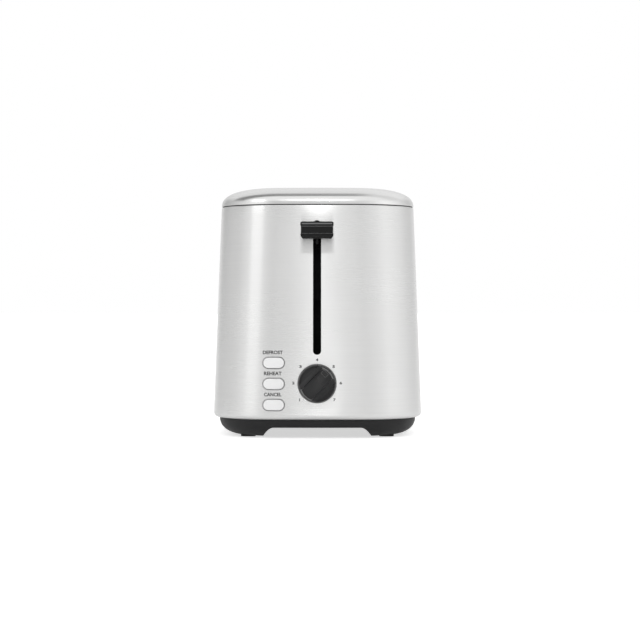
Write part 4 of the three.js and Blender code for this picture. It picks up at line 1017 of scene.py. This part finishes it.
def makeDial():
    d = dial
    radius = controls["dialRadius"]
    backY, frontY = dialHigh.y / mm, dialLow.y / mm
    face = backY - d["skirt"]
    points = [
        (0, 0), (radius - 0.3, 0), (radius, -0.3), (radius - 1.1, -d["skirt"] + 0.9),
        (radius - 1.45, -d["skirt"] + 0.3), (radius - 2.0, -d["skirt"]), (radius - 2.6, -d["skirt"] + 0.3),
        (0, -d["skirt"] + 0.2),
    ]
    turned = spinProfile("browningDial", points, 0, backY, dialZ)
    bm = bmesh.new()
    half = d["gripWidth"] / 2
    foot, rise = d["wedge"]
    side = [(half, frontY), (half + d["gripFlare"], face - rise), (half + d["gripFlare"] + foot, face)]
    side.append((side[-1][0] + 1, face + 1))
    section = [(-x, y) for x, y in reversed(side)] + side
    addPrism(bm, [(x, y, dialZ - radius) for x, y in section], (0, 0, 2 * radius))
    bar = newObject("bar", bm)
    bm = bmesh.new()
    addRod(bm, (0, face + 3, dialZ), (0, frontY - 1, dialZ), radius - 1.1, 96, radius - 3)
    combine(bar, newObject("round", bm), "INTERSECT")
    softEdges(bar, d["edge"], 3, 30)
    combine(turned, bar, "UNION")
    bm = bmesh.new()
    addRod(bm, (0, backY + 1, dialZ), (0, face - 2.3, dialZ), d["bore"], 32)
    combine(turned, newObject("bore", bm))
    left, right, bottom, top = d["notch"]
    low, high = dialZ + bottom, dialZ + top
    bm = bmesh.new()
    addBlock(bm, (left, frontY - 1, low), (right, frontY + d["notchDepth"], high), 0.3, 1, 4)
    combine(turned, newObject("notch", bm))
    turn = Matrix.Rotation(math.radians(controls["dialRest"]), 4, "Y")
    rest = Matrix.Translation((0, 0, dialZ * mm)) @ turn @ Matrix.Translation((0, 0, -dialZ * mm))
    turned.data.transform(rest)
    fit(turned, "gloss_black", "dial", "browning_dial", angle=35)

    bm = bmesh.new()  # painted highlight: a pale line round the notch's floor, standing in for light on the notch's edges
    line = d["line"]
    y0, y1 = frontY + d["notchDepth"] - 0.1, frontY + d["notchDepth"] + 0.03
    addBlock(bm, (left, y0, low), (left + line, y1, high))
    addBlock(bm, (right - line, y0, low), (right, y1, high))
    addBlock(bm, (left + line, y0, high - line), (right - line, y1, high))
    addBlock(bm, (left + line, y0, low), (right - line, y1, low + line))
    notchHighlightFrame = newObject("dialNotchHighlight", bm)
    notchHighlightFrame.data.transform(rest)
    fit(notchHighlightFrame, "notchHighlightPaint", "dial")


makeDial()

scale = {
    "count": 7, "radius": 19.0, "turn": 133, "height": 2.2, "widths": (0.7, 2.0),
    "wordHeight": 2.9, "wordWidths": {"defrost": 16.0, "reheat": 14.2, "cancel": 14.0},
    "wordRise": 8.35, "wordShift": -0.7, "bold": 0.12, "proud": 0.045, "thick": 0.04,
}


def layOnWall(obj, x, z):
    # bends a flat mark, drawn in x and y round the origin, onto the front wall at x, z
    for vert in obj.data.vertices:
        px, pz = x + vert.co.x / mm, z + vert.co.y / mm
        vert.co = Vector((px, wallY(pz, px) - scale["proud"], pz)) * mm
    ink = obj.modifiers.new("ink", "SOLIDIFY")
    ink.thickness = scale["thick"] * mm
    ink.offset = -1
    settle(obj)
    fit(obj, "ink", "housing")


def makeText(name, words, height, width, x, z):
    text = bpy.data.curves.new(name, "FONT")
    text.body = words
    text.size = height * 1.4 * mm
    text.align_x = "CENTER"
    text.offset = scale["bold"] * mm
    text.resolution_u = 5
    holder = bpy.data.objects.new(name, text)
    scene.collection.objects.link(holder)
    bpy.context.view_layer.update()
    mesh = bpy.data.meshes.new_from_object(holder.evaluated_get(bpy.context.evaluated_depsgraph_get()))
    bpy.data.objects.remove(holder)
    xs = [vert.co.x for vert in mesh.vertices]
    ys = [vert.co.y for vert in mesh.vertices]
    middle = Vector(((max(xs) + min(xs)) / 2, (max(ys) + min(ys)) / 2, 0))
    across = width * mm / (max(xs) - min(xs))
    upward = height * mm / (max(ys) - min(ys))
    for vert in mesh.vertices:
        vert.co = Vector(((vert.co.x - middle.x) * across, (vert.co.y - middle.y) * upward, 0))
    mark = bpy.data.objects.new(name, mesh)
    scene.collection.objects.link(mark)
    layOnWall(mark, x, z)


for index in range(scale["count"]):
    angle = math.radians(scale["turn"] * (2 * index / (scale["count"] - 1) - 1))
    place = scale["radius"] * math.sin(angle), dialZ + scale["radius"] * math.cos(angle)
    digit = str(index + 1)
    makeText("scaleDigit_" + digit, digit, scale["height"], scale["widths"][min(index, 1)], *place)
for keyName, (keyX, keyZ) in keyPlaces.items():
    place = keyX + scale["wordShift"], keyZ + scale["wordRise"]
    makeText(keyName + "Word", keyName.upper(), scale["wordHeight"], scale["wordWidths"][keyName], *place)
print("dial and printed marks made")


# push buttons

key = {"edge": 0.45, "flange": (2, 1.5), "flangeDepth": 1.3, "stem": (6, 4)}


def makeKey(name):
    node = name + "_button"
    low, high = (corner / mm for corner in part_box(node))
    x, z = keyPlaces[name]
    width, height = controls["button"]
    shoulder = high.y
    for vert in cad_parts[node].data.vertices:
        if abs(vert.co.x / mm - low.x) < 0.05:
            shoulder = min(shoulder, vert.co.y / mm)
    bm = bmesh.new()
    addBlock(bm, (x - width / 2, low.y, z - height / 2), (x + width / 2, shoulder + 0.5, z + height / 2),
             height / 2 - hair, 1, 12)
    front = min(bm.faces, key=lambda f: f.calc_center_median().y)
    bevelEdges(bm, front.edges, key["edge"], 4, False)
    cap = newObject(name + "Button", bm)
    bm = bmesh.new()
    flangeX, flangeZ = width / 2 + key["flange"][0], height / 2 + key["flange"][1]
    addBlock(bm, (x - flangeX, shoulder, z - flangeZ),
             (x + flangeX, shoulder + key["flangeDepth"], z + flangeZ), 0.3)
    combine(cap, newObject("flange", bm), "UNION")
    bm = bmesh.new()
    halfX, halfZ = (size / 2 for size in key["stem"])
    addBlock(bm, (x - halfX, shoulder + 0.4, z - halfZ), (x + halfX, high.y, z + halfZ), 0.3, 1)
    combine(cap, newObject("stem", bm), "UNION")
    fit(cap, "silver_plastic", name + "_key", node, angle=40)


for keyName in keyNames:
    makeKey(keyName)
print("push buttons made")


# return spring, bread guides and tray handle

spring = {"radius": 3.6, "wire": 1.0, "turns": 30}


def makeSpring():
    s = spring
    low, high = (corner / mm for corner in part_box("return_spring"))
    x, y = (low.x + high.x) / 2, (low.y + high.y) / 2
    radius, wire = s["radius"] - s["wire"] / 2, s["wire"] / 2
    eyes = (low.z + s["radius"], high.z - s["radius"])
    start, end = eyes[0] + radius * 0.75, eyes[1] - radius * 0.75
    bm = bmesh.new()
    place = Matrix.Translation(Vector((x + radius, y, start)) * mm) @ Matrix.Rotation(math.pi / 2, 4, "X")
    ring = bmesh.ops.create_circle(bm, segments=8, radius=wire * 0.98 * mm, cap_ends=True, matrix=place)
    geom = ring["verts"] + list(bm.edges) + list(bm.faces)
    steps = s["turns"] * 16
    bmesh.ops.spin(bm, geom=geom, cent=Vector((x, y, start)) * mm, axis=(0, 0, 1),
                   dvec=(0, 0, (end - start) / steps * mm), angle=2 * math.pi * s["turns"], steps=steps)
    for centre, turn in ((eyes[0], -1), (eyes[1], 1)):
        place = Matrix.Translation(Vector((x + radius, y, centre)) * mm)
        ring = bmesh.ops.create_circle(bm, segments=8, radius=wire * mm, matrix=place)
        verts = ring["verts"]
        edges = list({e for v in verts for e in v.link_edges})
        bmesh.ops.spin(bm, geom=verts + edges, cent=Vector((x, y, centre)) * mm, axis=(0, 1, 0),
                       dvec=(0, 0, 0), angle=2 * math.pi, steps=28, use_merge=True)
    bmesh.ops.remove_doubles(bm, verts=bm.verts, dist=1e-7)
    bmesh.ops.recalc_face_normals(bm, faces=bm.faces)
    coil = fit(newObject("returnSpring", bm), "bright_wire", None, "return_spring", angle=50)
    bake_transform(coil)


makeSpring()

guide = {"wire": 0.9, "rail": 1.1, "wires": 7, "ends": (12, 11)}


def makeGuide(where):
    node = "bread_guide_" + where
    low, high = (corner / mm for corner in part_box(node))
    x = (low.x + high.x) / 2
    rails = (low.z + guide["rail"], high.z - guide["rail"])
    bm = bmesh.new()
    for z in rails:
        addRod(bm, (x, low.y, z), (x, high.y, z), guide["rail"], 16, rounded=0.4)
    first, last = low.y + guide["ends"][0], high.y - guide["ends"][1]
    for i in range(guide["wires"]):
        y = first + (last - first) * i / (guide["wires"] - 1)
        addRod(bm, (x, y, rails[0]), (x, y, rails[1]), guide["wire"], 14)
    fit(newObject("breadGuide_" + where, bm), "bright_wire", "guide_" + where, node, angle=40)


for guideName in ("left_outer", "left_inner", "right_inner", "right_outer"):
    makeGuide(guideName)

handle = {"wall": 2.2, "edge": 0.5}


def bowlInset(z):
    # how far the base's outside stands in from the steel's at height z
    drop = max(housing["bottom"] - z, 0) / (housing["bottom"] - base["bottom"])
    across = (1 - drop ** base["power"]) ** (1 / base["power"])
    return base["inset"] + base["reach"] * (1 - across)


def makeHandle():
    low, high = (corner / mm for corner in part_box("crumb_tray_handle"))
    half = high.x
    level, inset = housing["bottom"], bowlInset(low.z)
    bm = bmesh.new()
    rear = [i for i in range(len(outline)) if outline[i][3] > 0.2]
    kept = [i for i in rear if abs(outlinePoint(i, base["inset"], low.z, level).x / mm) < half - 0.4]
    ends = [Vector((x * mm, wallY(level, x, inset, 1) * mm, low.z * mm)) for x in (half, -half)]
    places = [ends[0], *(outlinePoint(i, inset, low.z, level) for i in kept), ends[1]]
    verts = [bm.verts.new(place) for place in places]
    edges = [bm.edges.new((a, b)) for a, b in zip(verts, verts[1:])]
    made = bmesh.ops.extrude_edge_only(bm, edges=edges)["geom"]
    upper = [g for g in made if isinstance(g, bmesh.types.BMVert)]
    grow = inset - bowlInset(high.z)
    for vert in upper:
        vert.co.z = high.z * mm
        vert.co.y += grow * mm * 0.9
    bmesh.ops.recalc_face_normals(bm, faces=bm.faces)
    if sum(f.normal.y for f in bm.faces) < 0:
        bmesh.ops.reverse_faces(bm, faces=bm.faces)
    band = newObject("trayHandle", bm)
    wall = band.modifiers.new("wall", "SOLIDIFY")
    wall.thickness = handle["wall"] * mm
    wall.offset = -1
    settle(band)
    softEdges(band, handle["edge"], 3, 50)
    fit(band, "black_plastic", "tray", "crumb_tray_handle")


makeHandle()
print("spring, guides and tray handle made")


# finishes of the carried-over nodes

nodeFinishes = {
    # the slot strip: black plastic with the slot's shade painted into it
    "slotShadeStrip": ["slot_guide"],
    # painted shade: the plates behind the lever slot take the darkened sheet
    "slotShadeSheet": ["chamber_front_plate", "carriage_plate"],
    "dullSteel": ["lever_arm"],
    "sheet_steel": [
        "chamber_rear_plate", "chamber_left_wall", "chamber_right_wall", "slot_frame", "bread_rack_left",
        "bread_rack_right", "browning_control", "crumb_tray",
    ],
    "mica_sheet": ["heater_card_" + side for side in ("left", "centre", "right")],
    "heating_wire": ["heating_ribbon_" + side for side in ("left", "centre", "right")],
    "plain_iron": ["guide_rod", "keeper_plate", "control_shaft", "magnet_core"],
    "copper_alloy": ["magnet_coil", "contact_blade_live", "contact_blade_neutral"],
    "circuit_laminate": ["circuit_board"],
    "black_plastic": [
        "carriage_bush", "contact_pusher", "control_bracket", "contact_block",
        *(name + "_switch" for name in keyNames),
    ],
    "silver_plastic": [name + "_plunger" for name in keyNames],
}
for finish, nodeNames in nodeFinishes.items():
    for nodeName in nodeNames:
        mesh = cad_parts[nodeName].data
        mesh.materials.clear()
        mesh.materials.append(finishes[finish])
print("carried-over nodes finished:", sum(map(len, nodeFinishes.values())))


# table top

tableLook = {"reach": 20, "tone": 0.9, "glow": 0.2, "cameraGlow": 0.42}  # reach in metres
bm = bmesh.new()
bmesh.ops.create_grid(bm, x_segments=1, y_segments=1, size=tableLook["reach"])
table = newObject("table", bm)
tableTop, tableTree, tableShader, _ = startMaterial(
    "paleTable", 0, Roughness=0.6, Specular_IOR_Level=0.2)
tableShader.inputs["Base Color"].default_value = (*[tableLook["tone"]] * 3, 1)
tableShader.inputs["Emission Color"].default_value = (1, 1, 1, 1)
seen = addNode(tableTree, "ShaderNodeLightPath").outputs["Is Camera Ray"]
glow = mathNode(tableTree, "MULTIPLY_ADD", seen, tableLook["cameraGlow"], tableLook["glow"])
tableTree.links.new(glow, tableShader.inputs["Emission Strength"])
hidden = addNode(tableTree, "ShaderNodeBsdfTransparent")  # seen from below, the table top isn't there
oneSided = addNode(tableTree, "ShaderNodeMixShader")
tableTree.links.new(addNode(tableTree, "ShaderNodeNewGeometry").outputs["Backfacing"], oneSided.inputs[0])
tableTree.links.new(tableShader.outputs[0], oneSided.inputs[1])
tableTree.links.new(hidden.outputs[0], oneSided.inputs[2])
tableTree.links.new(oneSided.outputs[0], tableTree.nodes["Material Output"].inputs[0])
table.data.materials.append(tableTop)
